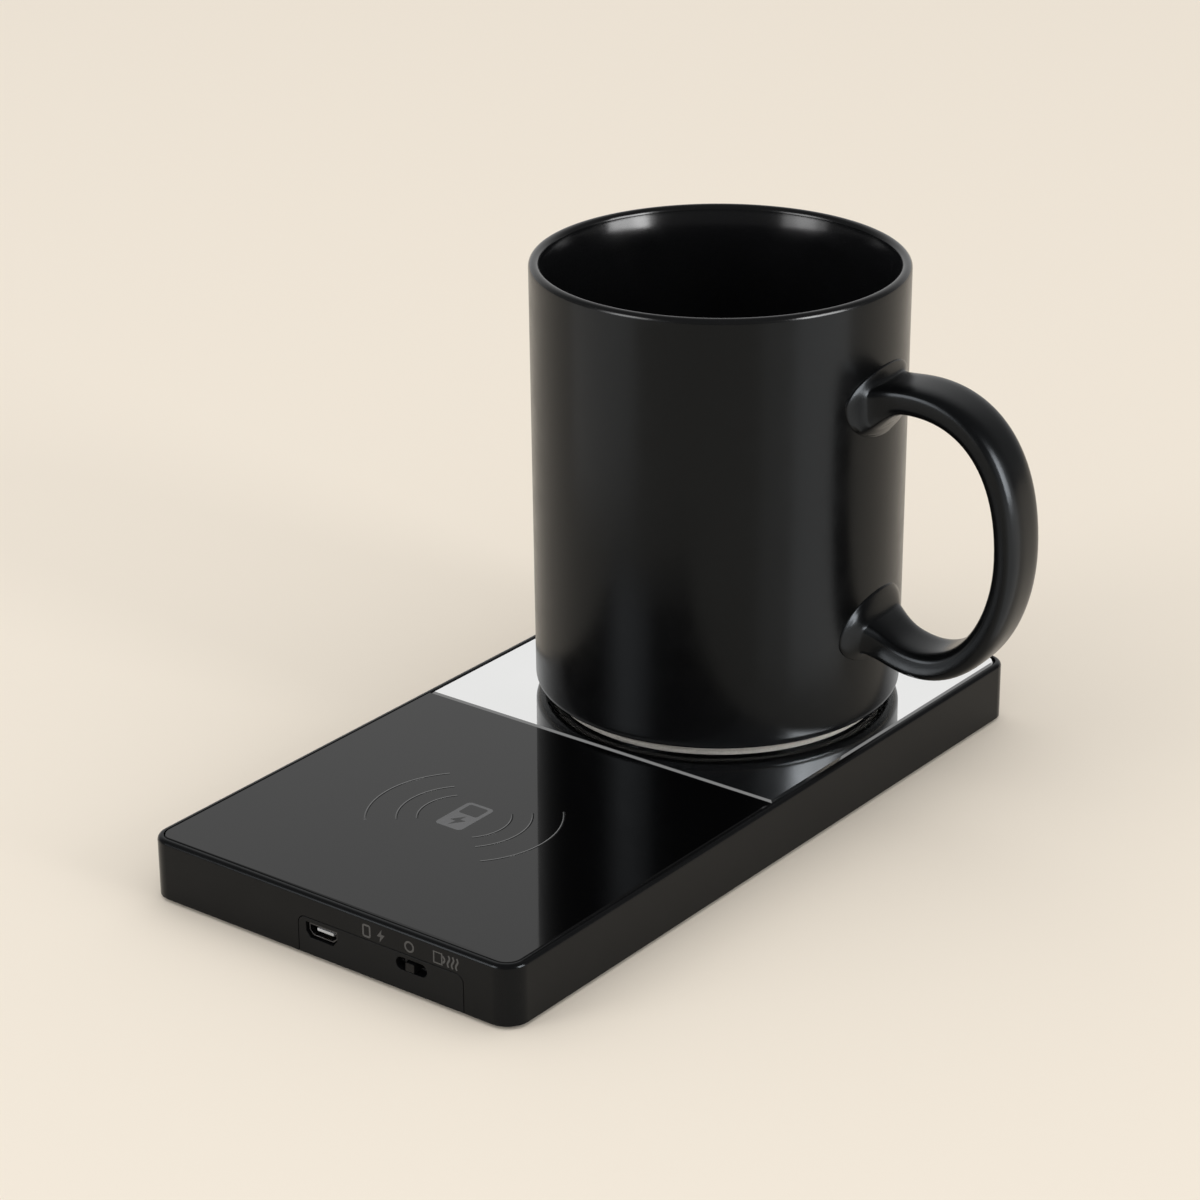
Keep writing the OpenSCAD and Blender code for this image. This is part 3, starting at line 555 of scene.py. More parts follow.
def dress(finishes):
    """Gives modelled nodes their finishes."""
    for name, material in finishes.items():
        for slot in NODES[name].material_slots:
            slot.material = material


def as_mesh(name, bm):
    """A mesh from a bmesh, which is freed."""
    mesh = bpy.data.meshes.new(name)
    bm.to_mesh(mesh)
    bm.free()
    return mesh


def closed_mesh(name, bm):
    """A mesh of closed shapes, their faces turned outwards."""
    bmesh.ops.recalc_face_normals(bm, faces=bm.faces)
    return as_mesh(name, bm)


def soften(mesh, limit=SMOOTH_ANGLE):
    """Smooth shading, with edges past the limit kept sharp."""
    mesh.shade_smooth()
    mesh.set_sharp_from_angle(angle=limit)
    return mesh


def temporary(name, data):
    """An object that carries a mesh or a curve for a while."""
    carrier = bpy.data.objects.new(name, data)
    bpy.context.scene.collection.objects.link(carrier)
    return carrier


def evaluated_mesh(carrier):
    """The carrier's mesh with its modifiers applied. The carrier is removed."""
    evaluated = carrier.evaluated_get(bpy.context.evaluated_depsgraph_get())
    mesh = bpy.data.meshes.new_from_object(evaluated)
    bpy.data.objects.remove(carrier)
    return mesh


def united(first, second, operation):
    """Union or difference of two closed meshes."""
    body = temporary("boolean_body", first)
    tool = temporary("boolean_tool", second)
    modifier = body.modifiers.new("boolean", "BOOLEAN")
    modifier.object = tool
    modifier.operation = operation
    modifier.solver = "EXACT"
    mesh = evaluated_mesh(body)
    bpy.data.objects.remove(tool)
    return mesh


def eased(node, width):
    """A copy of a node with its triangles joined, its flat faces whole and its edges rounded."""
    bm = bmesh.new()
    bm.from_mesh(NODES[node].data)
    bmesh.ops.remove_doubles(bm, verts=bm.verts, dist=MERGE_DISTANCE)
    bmesh.ops.dissolve_limit(bm, angle_limit=FLAT_ANGLE, verts=bm.verts, edges=bm.edges)
    mesh = as_mesh(node + "_eased", bm)
    if not width:
        return soften(mesh)
    mesh.shade_smooth()
    carrier = temporary(node + "_eased", mesh)
    bevel = carrier.modifiers.new("edges", "BEVEL")
    bevel.width = width
    bevel.segments = BEVEL_STEPS
    bevel.limit_method = "ANGLE"
    bevel.angle_limit = SMOOTH_ANGLE
    carrier.modifiers.new("normals", "WEIGHTED_NORMAL").weight = FLAT_FACE_WEIGHT
    return evaluated_mesh(carrier)


def within(value):
    """A share, held between nought and one."""
    return min(max(value, 0), 1)


def blend(first, second, share):
    """A number or point part of the way from one to another."""
    return first + (second - first) * share


def arc(centre, radius, start, end, steps=ARC_STEPS):
    """Points on an arc, from one angle in degrees to another."""
    turns = [math.radians(start + (end - start) * i / steps) for i in range(steps + 1)]
    return [(centre[0] + radius * math.cos(a), centre[1] + radius * math.sin(a)) for a in turns]


def run(first, last, steps):
    """Points between two, without the two themselves."""
    return [tuple(a + (b - a) * i / steps for a, b in zip(first, last)) for i in range(1, steps)]


def lathe(profile, segments, finishes=None):
    """A closed turned form from a half section that starts and ends on the axis."""
    bm = bmesh.new()
    turns = [2 * math.pi * i / segments for i in range(segments)]
    rings = []
    for radius, height in profile:
        around = turns if radius > MERGE_DISTANCE else [0]
        rings.append([bm.verts.new((radius * math.cos(a), radius * math.sin(a), height)) for a in around])
    for k, (below, above) in enumerate(zip(rings, rings[1:])):
        for i in range(segments):
            j = (i + 1) % segments
            corners = [ring[n % len(ring)] for ring, n in ((below, i), (below, j), (above, j), (above, i))]
            face = bm.faces.new(list(dict.fromkeys(corners)))
            if finishes:
                face.material_index = finishes[k]
    return bm


# The mug

OUTSIDE, INSIDE, FOOT = 0, 1, 2


def mug_axis(height):
    """The point of the mug's axis at a height."""
    rim_r = settings("mug_sizes").rim_diameter / 2
    return Vector((MUG_LOW.x + rim_r, (MUG_LOW.y + MUG_HIGH.y) / 2, height))


def mug_profile(sizes):
    """Half section of the mug, from under its floor to over it, and the glaze of each stretch."""
    wall_r = sizes.lower_diameter / 2
    rim_r = sizes.rim_diameter / 2
    height = MUG_HIGH.z - MUG_LOW.z
    base = sizes.foot_height
    foot_r = wall_r - sizes.foot_inset
    floor = base + sizes.floor
    inner_r = wall_r - sizes.wall
    round_rim = (sizes.wall - sizes.lip_taper) / 2
    under = [(0, base), ((foot_r - sizes.foot_width) / 2, base), (foot_r - sizes.foot_width, base)]
    ring = (
        arc((foot_r - sizes.foot_width + FOOT_FILLET, FOOT_FILLET), FOOT_FILLET, 180, 270, FILLET_STEPS)
        + arc((foot_r - FOOT_FILLET, FOOT_FILLET), FOOT_FILLET, 270, 360, FILLET_STEPS)
        + [(foot_r, GLAZE_LINE)]
    )
    edge = arc((wall_r - sizes.edge_radius, base + sizes.edge_radius), sizes.edge_radius, 270, 360)
    rim = arc((rim_r - round_rim, height - round_rim), round_rim, 0, 180, 2 * ARC_STEPS)
    lip = [
        (rim_r - sizes.wall + sizes.lip_taper * (1 - s) ** 2, height - round_rim - sizes.lip_depth * s)
        for s in (k / LIP_STEPS for k in range(1, LIP_STEPS + 1))
    ]
    corner = arc((inner_r - sizes.inner_radius, floor + sizes.inner_radius), sizes.inner_radius, 360, 270)
    stretches = [
        (under, OUTSIDE),
        (ring, FOOT),
        ([(foot_r, base)] + edge, OUTSIDE),
        (run(edge[-1], rim[0], WALL_ROWS), OUTSIDE),
        (rim[:SATIN_RIM_STEPS], OUTSIDE),
        (rim[SATIN_RIM_STEPS:], INSIDE),
        (lip, INSIDE),
        (run(lip[-1], corner[0], WALL_ROWS // 2), INSIDE),
        (corner, INSIDE),
        (run(corner[-1], (0, floor), FLOOR_ROWS) + [(0, floor)], INSIDE),
    ]
    points = [point for stretch, _ in stretches for point in stretch]
    glazes = [glaze for stretch, glaze in stretches for _ in stretch]
    return points, glazes[1:]


def bezier(points, t):
    """A point on a cubic curve."""
    weights = ((1 - t) ** 3, 3 * (1 - t) ** 2 * t, 3 * (1 - t) * t * t, t ** 3)
    return sum((w * p for w, p in zip(weights, points)), Vector((0, 0)))


def strap_line(sizes):
    """Middle line of the handle's strap, in the upright plane through the mug's axis."""
    root_r = sizes.lower_diameter / 2 - sizes.wall / 2
    tip = Vector((sizes.lower_diameter / 2 + sizes.reach, sizes.tip_height))
    top = Vector((root_r, sizes.upper_root))
    low = Vector((root_r, sizes.lower_root))
    upper = [
        top,
        top + UPPER_PULL * Vector((math.cos(sizes.rise), math.sin(sizes.rise))),
        tip + Vector((0, UPPER_TIP_PULL)),
        tip,
    ]
    lower = [
        tip,
        tip - Vector((0, LOWER_TIP_PULL)),
        low + LOWER_PULL * Vector((math.cos(sizes.drop), -math.sin(sizes.drop))),
        low,
    ]
    eased_shares = [(i / STRAP_STEPS) ** STRAP_EASE for i in range(STRAP_STEPS + 1)]
    first, last = COLLAR_SHARES
    collar_shares = [first + (last - first) * i / COLLAR_ROWS for i in range(COLLAR_ROWS + 1)]
    shares = sorted([t for t in eased_shares if t < first or t > last] + collar_shares)
    return [bezier(upper, t) for t in shares] + [bezier(lower, 1 - t) for t in reversed(shares[:-1])]


def strap_ring(sizes, line, i):
    """One ring of the strap, upright and bent to the wall where it spreads into its collar."""
    last = len(line) - 1
    point = line[i]
    way = line[min(i + 1, last)] - line[max(i - 1, 0)]
    lower_r = sizes.lower_diameter / 2
    wall_r = blend(lower_r, sizes.rim_diameter / 2, point.y / (MUG_HIGH.z - MUG_LOW.z))
    clear = point.x - wall_r
    inside = i in (0, last)
    upper = i < last / 2
    near = 1 - within((clear - COLLAR_PROUD) / sizes.flare)
    collar = 0 if inside else (1 - within((clear - COLLAR_PROUD) / COLLAR_REACH)) ** 2
    thicken = 0 if inside else ROOT_THICKEN[0 if upper else 1] * near ** 2 * (1 - collar)
    straight = 0 if upper else math.pi
    heading = math.atan2(way.y, way.x)
    lean = blend(straight, heading, 1 - near ** 2) if near else heading
    edge = COLLAR_EDGE * (1 - math.sqrt(1 - within(clear / COLLAR_PROUD) ** 2)) * collar
    half_out = blend(sizes.strap_thickness, sizes.collar_height, collar) / 2 - edge
    width = sizes.strap_width if inside else blend(sizes.strap_width, sizes.root_width, near ** 3)
    half_side = blend(width, sizes.collar_width, collar) / 2 - edge
    square = blend(STRAP_SQUARENESS, BEND_SQUARENESS, within(clear / sizes.reach) ** 2)
    power = 2 / blend(square, COLLAR_SQUARENESS, collar)
    ring = []
    for j in range(STRAP_SIDES):
        c, s = math.cos(2 * math.pi * j / STRAP_SIDES), math.sin(2 * math.pi * j / STRAP_SIDES)
        rise = half_out + (thicken if c < 0 else 0) - math.copysign(COLLAR_SHIFT * collar, c)
        out = rise * math.copysign(abs(c) ** power, c)
        side = half_side * math.copysign(abs(s) ** power, s)
        sag = 0 if inside else (lower_r - math.sqrt(lower_r ** 2 - side ** 2)) * near
        ring.append((point.x - out * math.sin(lean) - sag, side, point.y + out * math.cos(lean)))
    return ring


def strap_mesh(sizes):
    """The handle: a strap swept along its line, with a collar at each root."""
    line = strap_line(sizes)
    bm = bmesh.new()
    rings = [[bm.verts.new(place) for place in strap_ring(sizes, line, i)] for i in range(len(line))]
    for near, far in zip(rings, rings[1:]):
        for j in range(STRAP_SIDES):
            k = (j + 1) % STRAP_SIDES
            bm.faces.new((near[j], near[k], far[k], far[j]))
    bm.faces.new(reversed(rings[0]))
    bm.faces.new(rings[-1])
    return closed_mesh("strap", bm)


class MUGBASE_OT_mug(bpy.types.Operator):
    """Turn the mug, sweep its handle and glaze both"""

    bl_idname = "mugbase.mug"
    bl_label = "Mug"

    def execute(self, context):
        sizes = settings("mug_sizes")
        profile, stretches = mug_profile(sizes)
        body = closed_mesh("mug_body", lathe(profile, MUG_SEGMENTS, stretches))
        glazes = (glaze_outside(), glaze_inside(), bare_clay())
        strap = strap_mesh(sizes)
        for mesh in (body, strap):
            for glaze in glazes:
                mesh.materials.append(glaze)
        mesh = united(body, strap, "UNION")
        mesh.transform(Matrix.Translation(mug_axis(MUG_LOW.z)) @ Matrix.Rotation(sizes.turn, 4, "Z"))
        show("mug_glazed", soften(mesh), "mug", ["mug"])
        return {"FINISHED"}


# Housing and panels


class MUGBASE_OT_housing(bpy.types.Operator):
    """Ease and texture the housing and its bottom cover"""

    bl_idname = "mugbase.housing"
    bl_label = "Housing and cover"

    def execute(self, context):
        edge = settings("base_finishes").edge
        housing = moulded_plastic("housing_plastic", (0.16, 0.21))
        cover = moulded_plastic("cover_plastic", (0.3, 0.4))
        show_eased("housing_shell", "top_housing", edge, "base", housing)
        show_eased("cover_shell", "bottom_cover", edge, "base", cover)
        return {"FINISHED"}


class MUGBASE_OT_panels(bpy.types.Operator):
    """Polish the charging glass and the warming plate"""

    bl_idname = "mugbase.panels"
    bl_label = "Glass and plate"

    def execute(self, context):
        glass = polished_glass("black_glass", settings("base_finishes").glass)
        show_eased("glass_panel", "charging_glass", 0, "base", glass)
        show_eased("plate_panel", "heating_plate", 0, "base", polished_plate())
        return {"FINISHED"}


# Geometry Nodes trees


def new_tree(name, inputs):
    """An empty Geometry Nodes tree with named inputs, and those inputs."""
    tree = bpy.data.node_groups.new(name, "GeometryNodeTree")
    for label, kind in inputs:
        tree.interface.new_socket(label, in_out="INPUT", socket_type="NodeSocket" + kind)
    tree.interface.new_socket("Geometry", in_out="OUTPUT", socket_type="NodeSocketGeometry")
    return tree, tree.nodes.new("NodeGroupInput").outputs


def joined(tree, *parts):
    """Several geometries as one."""
    node = tree.nodes.new("GeometryNodeJoinGeometry")
    for part in parts:
        tree.links.new(part, node.inputs["Geometry"])
    return node.outputs["Geometry"]


def close_tree(tree, geometry, material):
    """Makes instances real, sets the material and ends the tree."""
    real = step(tree, "RealizeInstances", Geometry=geometry)["Geometry"]
    painted = step(tree, "SetMaterial", Geometry=real, Material=material)["Geometry"]
    tree.links.new(painted, tree.nodes.new("NodeGroupOutput").inputs["Geometry"])
    return tree


def grown(tree, values):
    """The plain mesh that a tree makes from these values."""
    carrier = temporary(tree.name, bpy.data.meshes.new(tree.name))
    modifier = carrier.modifiers.new("grow", "NODES")
    modifier.node_group = tree
    for item in tree.interface.items_tree:
        if item.in_out == "INPUT":
            modifier[item.identifier] = values[item.name]
    return evaluated_mesh(carrier)


def arcs_tree():
    """Three arcs on each side of a centre, as flat lines."""
    tree, given = new_tree("sign_arcs", (
        ("Inner", "Float"), ("Middle", "Float"), ("Outer", "Float"), ("Half Arc", "Float"),
        ("Stroke", "Float"), ("Depth", "Float"), ("Centre", "Vector"), ("Ink", "Material"),
    ))
    sweep = {
        "Resolution": SIGN_ARC_POINTS,
        "Start_Angle": reckoned(tree, "MULTIPLY", given["Half Arc"], -1),
        "Sweep_Angle": reckoned(tree, "MULTIPLY", given["Half Arc"], 2),
    }
    arcs = [step(tree, "CurveArc", Radius=given[name], **sweep) for name in ("Inner", "Middle", "Outer")]
    right = joined(tree, *(outputs["Curve"] for outputs in arcs))
    left = step(tree, "Transform", Geometry=right, Rotation=(0, 0, math.pi))["Geometry"]
    both = joined(tree, right, left)
    strip = step(tree, "CurvePrimitiveQuadrilateral", Width=given["Stroke"], Height=given["Depth"])["Curve"]
    lines = step(tree, "CurveToMesh", Curve=both, Profile_Curve=strip, Fill_Caps=True)["Mesh"]
    placed = step(tree, "Transform", Geometry=lines, Translation=given["Centre"])["Geometry"]
    return close_tree(tree, placed, given["Ink"])


def pattern_tree(name):
    """One piece repeated in columns and rows."""
    tree, given = new_tree(name, (
        ("Piece", "Object"), ("Across", "Float"), ("Along", "Float"), ("Columns", "Int"), ("Rows", "Int"),
        ("Centre", "Vector"), ("Finish", "Material"),
    ))
    grid = step(
        tree, "MeshGrid", Size_X=given["Across"], Size_Y=given["Along"],
        Vertices_X=given["Columns"], Vertices_Y=given["Rows"],
    )["Mesh"]
    places = step(tree, "Transform", Geometry=grid, Translation=given["Centre"])["Geometry"]
    piece = step(tree, "ObjectInfo", Object=given["Piece"])["Geometry"]
    copies = step(tree, "InstanceOnPoints", Points=places, Instance=piece)["Instances"]
    return close_tree(tree, copies, given["Finish"])


def stranded_tree():
    """A path wound as stranded wire: outer strands laid round a middle one."""
    tree, given = new_tree("stranded_wire", (
        ("Path", "Object"), ("Wire", "Float"), ("Lay", "Float"), ("Finish", "Material"),
    ))
    path = step(tree, "ObjectInfo", Object=given["Path"])["Geometry"]
    turns = reckoned(tree, "DIVIDE", step(tree, "SplineParameter")["Length"], given["Lay"])
    tilt = reckoned(tree, "MULTIPLY", turns, 2 * math.pi)
    laid = step(tree, "SetCurveTilt", Curve=path, Tilt=tilt)["Curve"]
    strand_r = reckoned(tree, "MULTIPLY", given["Wire"], 1 / (2 * STRANDS_ACROSS))
    ring_r = reckoned(tree, "MULTIPLY", given["Wire"], 1 / STRANDS_ACROSS)
    strand = step(tree, "CurvePrimitiveCircle", Resolution=STRAND_SIDES, Radius=strand_r)["Curve"]
    ring = step(tree, "CurvePrimitiveCircle", Resolution=OUTER_STRANDS, Radius=ring_r)["Curve"]
    around = step(tree, "InstanceOnPoints", Points=ring, Instance=strand)["Instances"]
    section = joined(tree, step(tree, "RealizeInstances", Geometry=around)["Geometry"], strand)
    wire = step(tree, "CurveToMesh", Curve=laid, Profile_Curve=section, Fill_Caps=True)["Mesh"]
    return close_tree(tree, wire, given["Finish"])


# Prints

PALE, DARK = 0, 1


def on_glass(u, v, height):
    """A point of the sign, from its centre, on the glass."""
    return SIGN_CENTRE.x + u, SIGN_CENTRE.y + v, GLASS_HIGH.z + height


def on_front(u, v, height):
    """A point of a label on the front face, where the printed side looks out to the front."""
    return u, HOUSING_LOW.y - height, LABEL_MIDDLE + v


def add_patch(bm, outline, place, low, high, index=PALE):
    """A closed prism on an outline, from one height to another."""
    top = [bm.verts.new(place(u, v, high)) for u, v in outline]
    bottom = [bm.verts.new(place(u, v, low)) for u, v in outline]
    faces = [bm.faces.new(top), bm.faces.new(reversed(bottom))]
    for i in range(len(outline)):
        j = (i + 1) % len(outline)
        faces.append(bm.faces.new((top[i], bottom[i], bottom[j], top[j])))
    for face in faces:
        face.material_index = index


def add_line(bm, points, width, place, closed=False):
    """A flat printed line through points."""
    count = len(points)
    rims = []
    for i, point in enumerate(points):
        before = points[i - 1] if closed or i else point
        after = points[(i + 1) % count] if closed or i < count - 1 else point
        way = (Vector(after) - Vector(before)).normalized() * width / 2
        rims.append([
            bm.verts.new(place(point[0] + side * way.y, point[1] - side * way.x, height))
            for side, height in ((-1, PRINT_DEPTH), (1, PRINT_DEPTH), (1, -PRINT_DEPTH), (-1, -PRINT_DEPTH))
        ])
    pairs = list(zip(rims, rims[1:])) + ([(rims[-1], rims[0])] if closed else [])
    for near, far in pairs:
        for k in range(len(near)):
            n = (k + 1) % len(near)
            bm.faces.new((near[k], far[k], far[n], near[n]))
    if not closed:
        bm.faces.new(reversed(rims[0]))
        bm.faces.new(rims[-1])


def rounded(centre, width, height, radius):
    """Outline of a rectangle with round corners."""
    points = []
    for start, sx, sy in ((0, 1, 1), (90, -1, 1), (180, -1, -1), (270, 1, -1)):
        middle = (centre[0] + sx * (width / 2 - radius), centre[1] + sy * (height / 2 - radius))
        points += arc(middle, radius, start, start + 90, FILLET_STEPS)
    return points


def flash(centre, height):
    """Outline of a plain flash."""
    shape = ((0.1, 0.5), (-0.34, -0.08), (-0.04, -0.08), (-0.12, -0.5), (0.34, 0.12), (0.04, 0.12))
    return [(centre[0] + x * height, centre[1] + y * height) for x, y in shape]


class MUGBASE_OT_sign(bpy.types.Operator):
    """Print the charging sign on the glass: a telephone between rising arcs"""

    bl_idname = "mugbase.sign"
    bl_label = "Charging sign"

    def execute(self, context):
        looks = settings("base_finishes")
        faint = polished_glass("sign_arc_ink", toned(looks.sign_print, FAINT_INK))
        arcs = grown(arcs_tree(), {
            "Inner": looks.arc_inner, "Middle": looks.arc_middle, "Outer": looks.arc_outer,
            "Half Arc": looks.arc_half, "Stroke": looks.arc_stroke, "Depth": 2 * PRINT_DEPTH,
            "Centre": on_glass(0, 0, 0), "Ink": faint,
        })
        show("sign_arcs", arcs, "base")
        bm = bmesh.new()
        phone = rounded((0, 0), PHONE_WIDTH, PHONE_LENGTH, PHONE_RADIUS)
        add_patch(bm, phone, on_glass, -PRINT_DEPTH, PRINT_DEPTH)
        window = rounded((0, WINDOW_RISE), WINDOW_WIDTH, WINDOW_LENGTH, WINDOW_RADIUS)
        for shape in (window, flash((0, -FLASH_DROP), FLASH_LENGTH)):
            add_patch(bm, shape, on_glass, 0, OVERPRINT_DEPTH, DARK)
        inks = [
            polished_glass("sign_ink", looks.sign_print),
            polished_glass("sign_dark_ink", toned(looks.glass, DARK_INK)),
        ]
        show("sign_phone", closed_mesh("sign_phone", bm), "base", materials=inks)
        return {"FINISHED"}


class MUGBASE_OT_labels(bpy.types.Operator):
    """Print plain pictures over the switch: telephone and flash, ring, cup and steam"""

    bl_idname = "mugbase.labels"
    bl_label = "Switch labels"

    def execute(self, context):
        left, right = LABEL_CUP - CUP_LEFT, LABEL_CUP + CUP_RIGHT
        loops = [
            rounded((LABEL_PHONE, 0), LABEL_PHONE_WIDTH, LABEL_HEIGHT - LABEL_STROKE, LABEL_PHONE_RADIUS),
            arc((LABEL_RING, 0), LABEL_RING_RADIUS, 0, LABEL_RING_SWEEP, LABEL_RING_STEPS),
            [(left, CUP_TOP), (left, CUP_BOTTOM), (right, CUP_BOTTOM), (right, CUP_TOP)],
        ]
        strokes = [arc((right, 0), CUP_EAR_RADIUS, -CUP_EAR_HALF, CUP_EAR_HALF, CUP_EAR_STEPS)]
        rows = [k / STEAM_STEPS - 0.5 for k in range(STEAM_STEPS + 1)]
        for middle in (LABEL_STEAM - STEAM_GAP, LABEL_STEAM, LABEL_STEAM + STEAM_GAP):
            strokes.append([
                (middle + STEAM_SWING * math.sin(2 * math.pi * row), row * STEAM_HEIGHT) for row in rows
            ])
        bm = bmesh.new()
        add_patch(bm, flash((LABEL_FLASH, 0), LABEL_HEIGHT), on_front, -PRINT_DEPTH, PRINT_DEPTH)
        for points in loops:
            add_line(bm, points, LABEL_STROKE, on_front, closed=True)
        for points in strokes:
            add_line(bm, points, LABEL_STROKE, on_front)
        ink = print_ink("label_ink", settings("base_finishes").label_print)
        show("switch_labels", closed_mesh("switch_labels", bm), "base", materials=[ink])
        return {"FINISHED"}


# Fittings


class MUGBASE_OT_socket(bpy.types.Operator):
    """Plate the power socket and mould its tongue"""

    bl_idname = "mugbase.socket"
    bl_label = "Power socket"

    def execute(self, context):
        edge = settings("base_finishes").edge * SHEET_EASE
        dark = plated("socket_plating", (0.08, 0.08, 0.085), (0.25, 0.36))
        core = finish("socket_core", PALE_GREY, (0.4, 0.55), 2200, 0.004 * MM)
        show_eased("socket_shell", "usb_shell", edge, "base", dark)
        show_eased("socket_tongue", "usb_insert", edge, "base", core)
        dress({"usb_contacts": plated("contact_gold", (0.7, 0.5, 0.16), (0.18, 0.28))})
        return {"FINISHED"}


class MUGBASE_OT_switch(bpy.types.Operator):
    """Finish the slide switch: can, terminals and the slider that moves"""

    bl_idname = "mugbase.switch"
    bl_label = "Slide switch"

    def execute(self, context):
        edge = settings("base_finishes").edge
        tin = plated("switch_tin", PALE_GREY, (0.3, 0.42))
        black = (0.004, 0.004, 0.0042)
        nub = finish("slider_plastic", black, (0.35, 0.45), 2400, 0.003 * MM, specular=0.16)
        show_eased("switch_can", "switch_frame", edge * SHEET_EASE, "base", tin)
        show_eased("switch_nub", "switch_slider", edge * NUB_EASE, "switch", nub)
        dress({"switch_terminals": tin})
        return {"FINISHED"}


def screw_piece(height):
    """A cross-head screw, head down, its head's face at zero."""
    edge = SCREW_HEAD_EDGE
    profile = [
        (0, 0),
        *arc((SCREW_HEAD_RADIUS - edge, edge), edge, 270, 360, FILLET_STEPS),
        (SCREW_HEAD_RADIUS, SCREW_HEAD_HEIGHT),
        (SCREW_SHANK_RADIUS, SCREW_HEAD_HEIGHT),
        (SCREW_SHANK_RADIUS, height - SCREW_POINT),
        (SCREW_TIP_RADIUS, height),
        (0, height),
    ]
    screw = closed_mesh("screw", lathe(profile, SCREW_SEGMENTS))
    a, b = CROSS_LENGTH / 2, CROSS_WIDTH / 2
    quarter = [(a, b), (b, b), (b, a)]
    outline = list(quarter)
    for _ in range(3):
        quarter = [(-y, x) for x, y in quarter]
        outline += quarter
    bm = bmesh.new()
    add_patch(bm, outline, lambda x, y, z: (x, y, z), -CROSS_DEPTH, CROSS_DEPTH)
    return united(screw, closed_mesh("cross", bm), "DIFFERENCE")


def foot_piece(height):
    """A round foot with a soft edge, its underside at zero."""
    edge = arc((FOOT_RADIUS - FOOT_EDGE, FOOT_EDGE), FOOT_EDGE, 270, 360, FILLET_STEPS)
    profile = [(0, 0), *edge, (FOOT_RADIUS, height), (0, height)]
    return closed_mesh("foot", lathe(profile, FOOT_SEGMENTS))


def repeated(name, piece, low, high, radius, columns, rows, material):
    """A piece repeated so that the whole pattern fills the box from low to high."""
    carrier = temporary(name + "_piece", piece)
    mesh = grown(pattern_tree(name), {
        "Piece": carrier, "Across": high.x - low.x - 2 * radius, "Along": high.y - low.y - 2 * radius,
        "Columns": columns, "Rows": rows,
        "Centre": ((low.x + high.x) / 2, (low.y + high.y) / 2, low.z), "Finish": material,
    })
    bpy.data.objects.remove(carrier)
    return soften(mesh)


class MUGBASE_OT_fasteners(bpy.types.Operator):
    """Set the cover's screws and the rubber feet under the base"""

    bl_idname = "mugbase.fasteners"
    bl_label = "Screws and feet"

    def execute(self, context):
        zinc = plated("screw_zinc", (0.35, 0.36, 0.37), (0.28, 0.4))
        rubber = finish("foot_rubber", settings("base_finishes").rubber, (0.7, 0.85), 1600, 0.02 * MM)
        screws = repeated(
            "cover_screw_set", screw_piece(SCREWS_HIGH.z - SCREWS_LOW.z), SCREWS_LOW, SCREWS_HIGH,
            SCREW_HEAD_RADIUS, SCREW_COLUMNS, SCREW_ROWS, zinc,
        )
        show("cover_screw_set", screws, "base", ["cover_screws"])
        feet = repeated(
            "foot_set", foot_piece(FEET_HIGH.z - FEET_LOW.z), FEET_LOW, FEET_HIGH,
            FOOT_RADIUS, FOOT_COLUMNS, FOOT_ROWS, rubber,
        )
        show("foot_set", feet, "base", ["rubber_feet"])
        dress({"board_screws": zinc})
        return {"FINISHED"}


def coil_route():
    """The winding's path: even turns from its inner end outwards, each end led off straight."""
    middle = Vector((0, (GLASS_LOW.y + GLASS_HIGH.y) / 2, (COIL_LOW.z + COIL_HIGH.z) / 2))
    pitch = (-COIL_LOW.x - COIL_WIRE / 2 - COIL_INNER_RADIUS) / COIL_TURNS
    points = []
    for i in range(COIL_TURNS * COIL_TURN_POINTS + 1):
        turns = i / COIL_TURN_POINTS
        radius = COIL_INNER_RADIUS + pitch * turns
        a = math.pi + 2 * math.pi * turns
        points.append(Vector((radius * math.cos(a), radius * math.sin(a), 0)))
    lead = Vector((0, COIL_WIRE, 0))
    points = [points[0] + lead, *points, points[-1] - lead]
    route = bpy.data.curves.new("coil_route", "CURVE")
    route.dimensions = "3D"
    spline = route.splines.new("POLY")
    spline.points.add(len(points) - 1)
    for place, point in zip(spline.points, points):
        place.co = (*(middle + point), 1)
    return route


class MUGBASE_OT_coil(bpy.types.Operator):
    """Wind the charging coil from stranded copper"""

    bl_idname = "mugbase.coil"
    bl_label = "Charging coil"

    def execute(self, context):
        carrier = temporary("coil_route", coil_route())
        copper = plated("coil_copper", (0.52, 0.2, 0.06), (0.25, 0.38))
        wire = grown(
            stranded_tree(), {"Path": carrier, "Wire": COIL_WIRE, "Lay": COIL_LAY, "Finish": copper}
        )
        bpy.data.objects.remove(carrier)
        show("coil_winding", soften(wire, COIL_SMOOTH_ANGLE), "base", ["charging_coil"])
        dress({"coil_leads": copper})
        return {"FINISHED"}


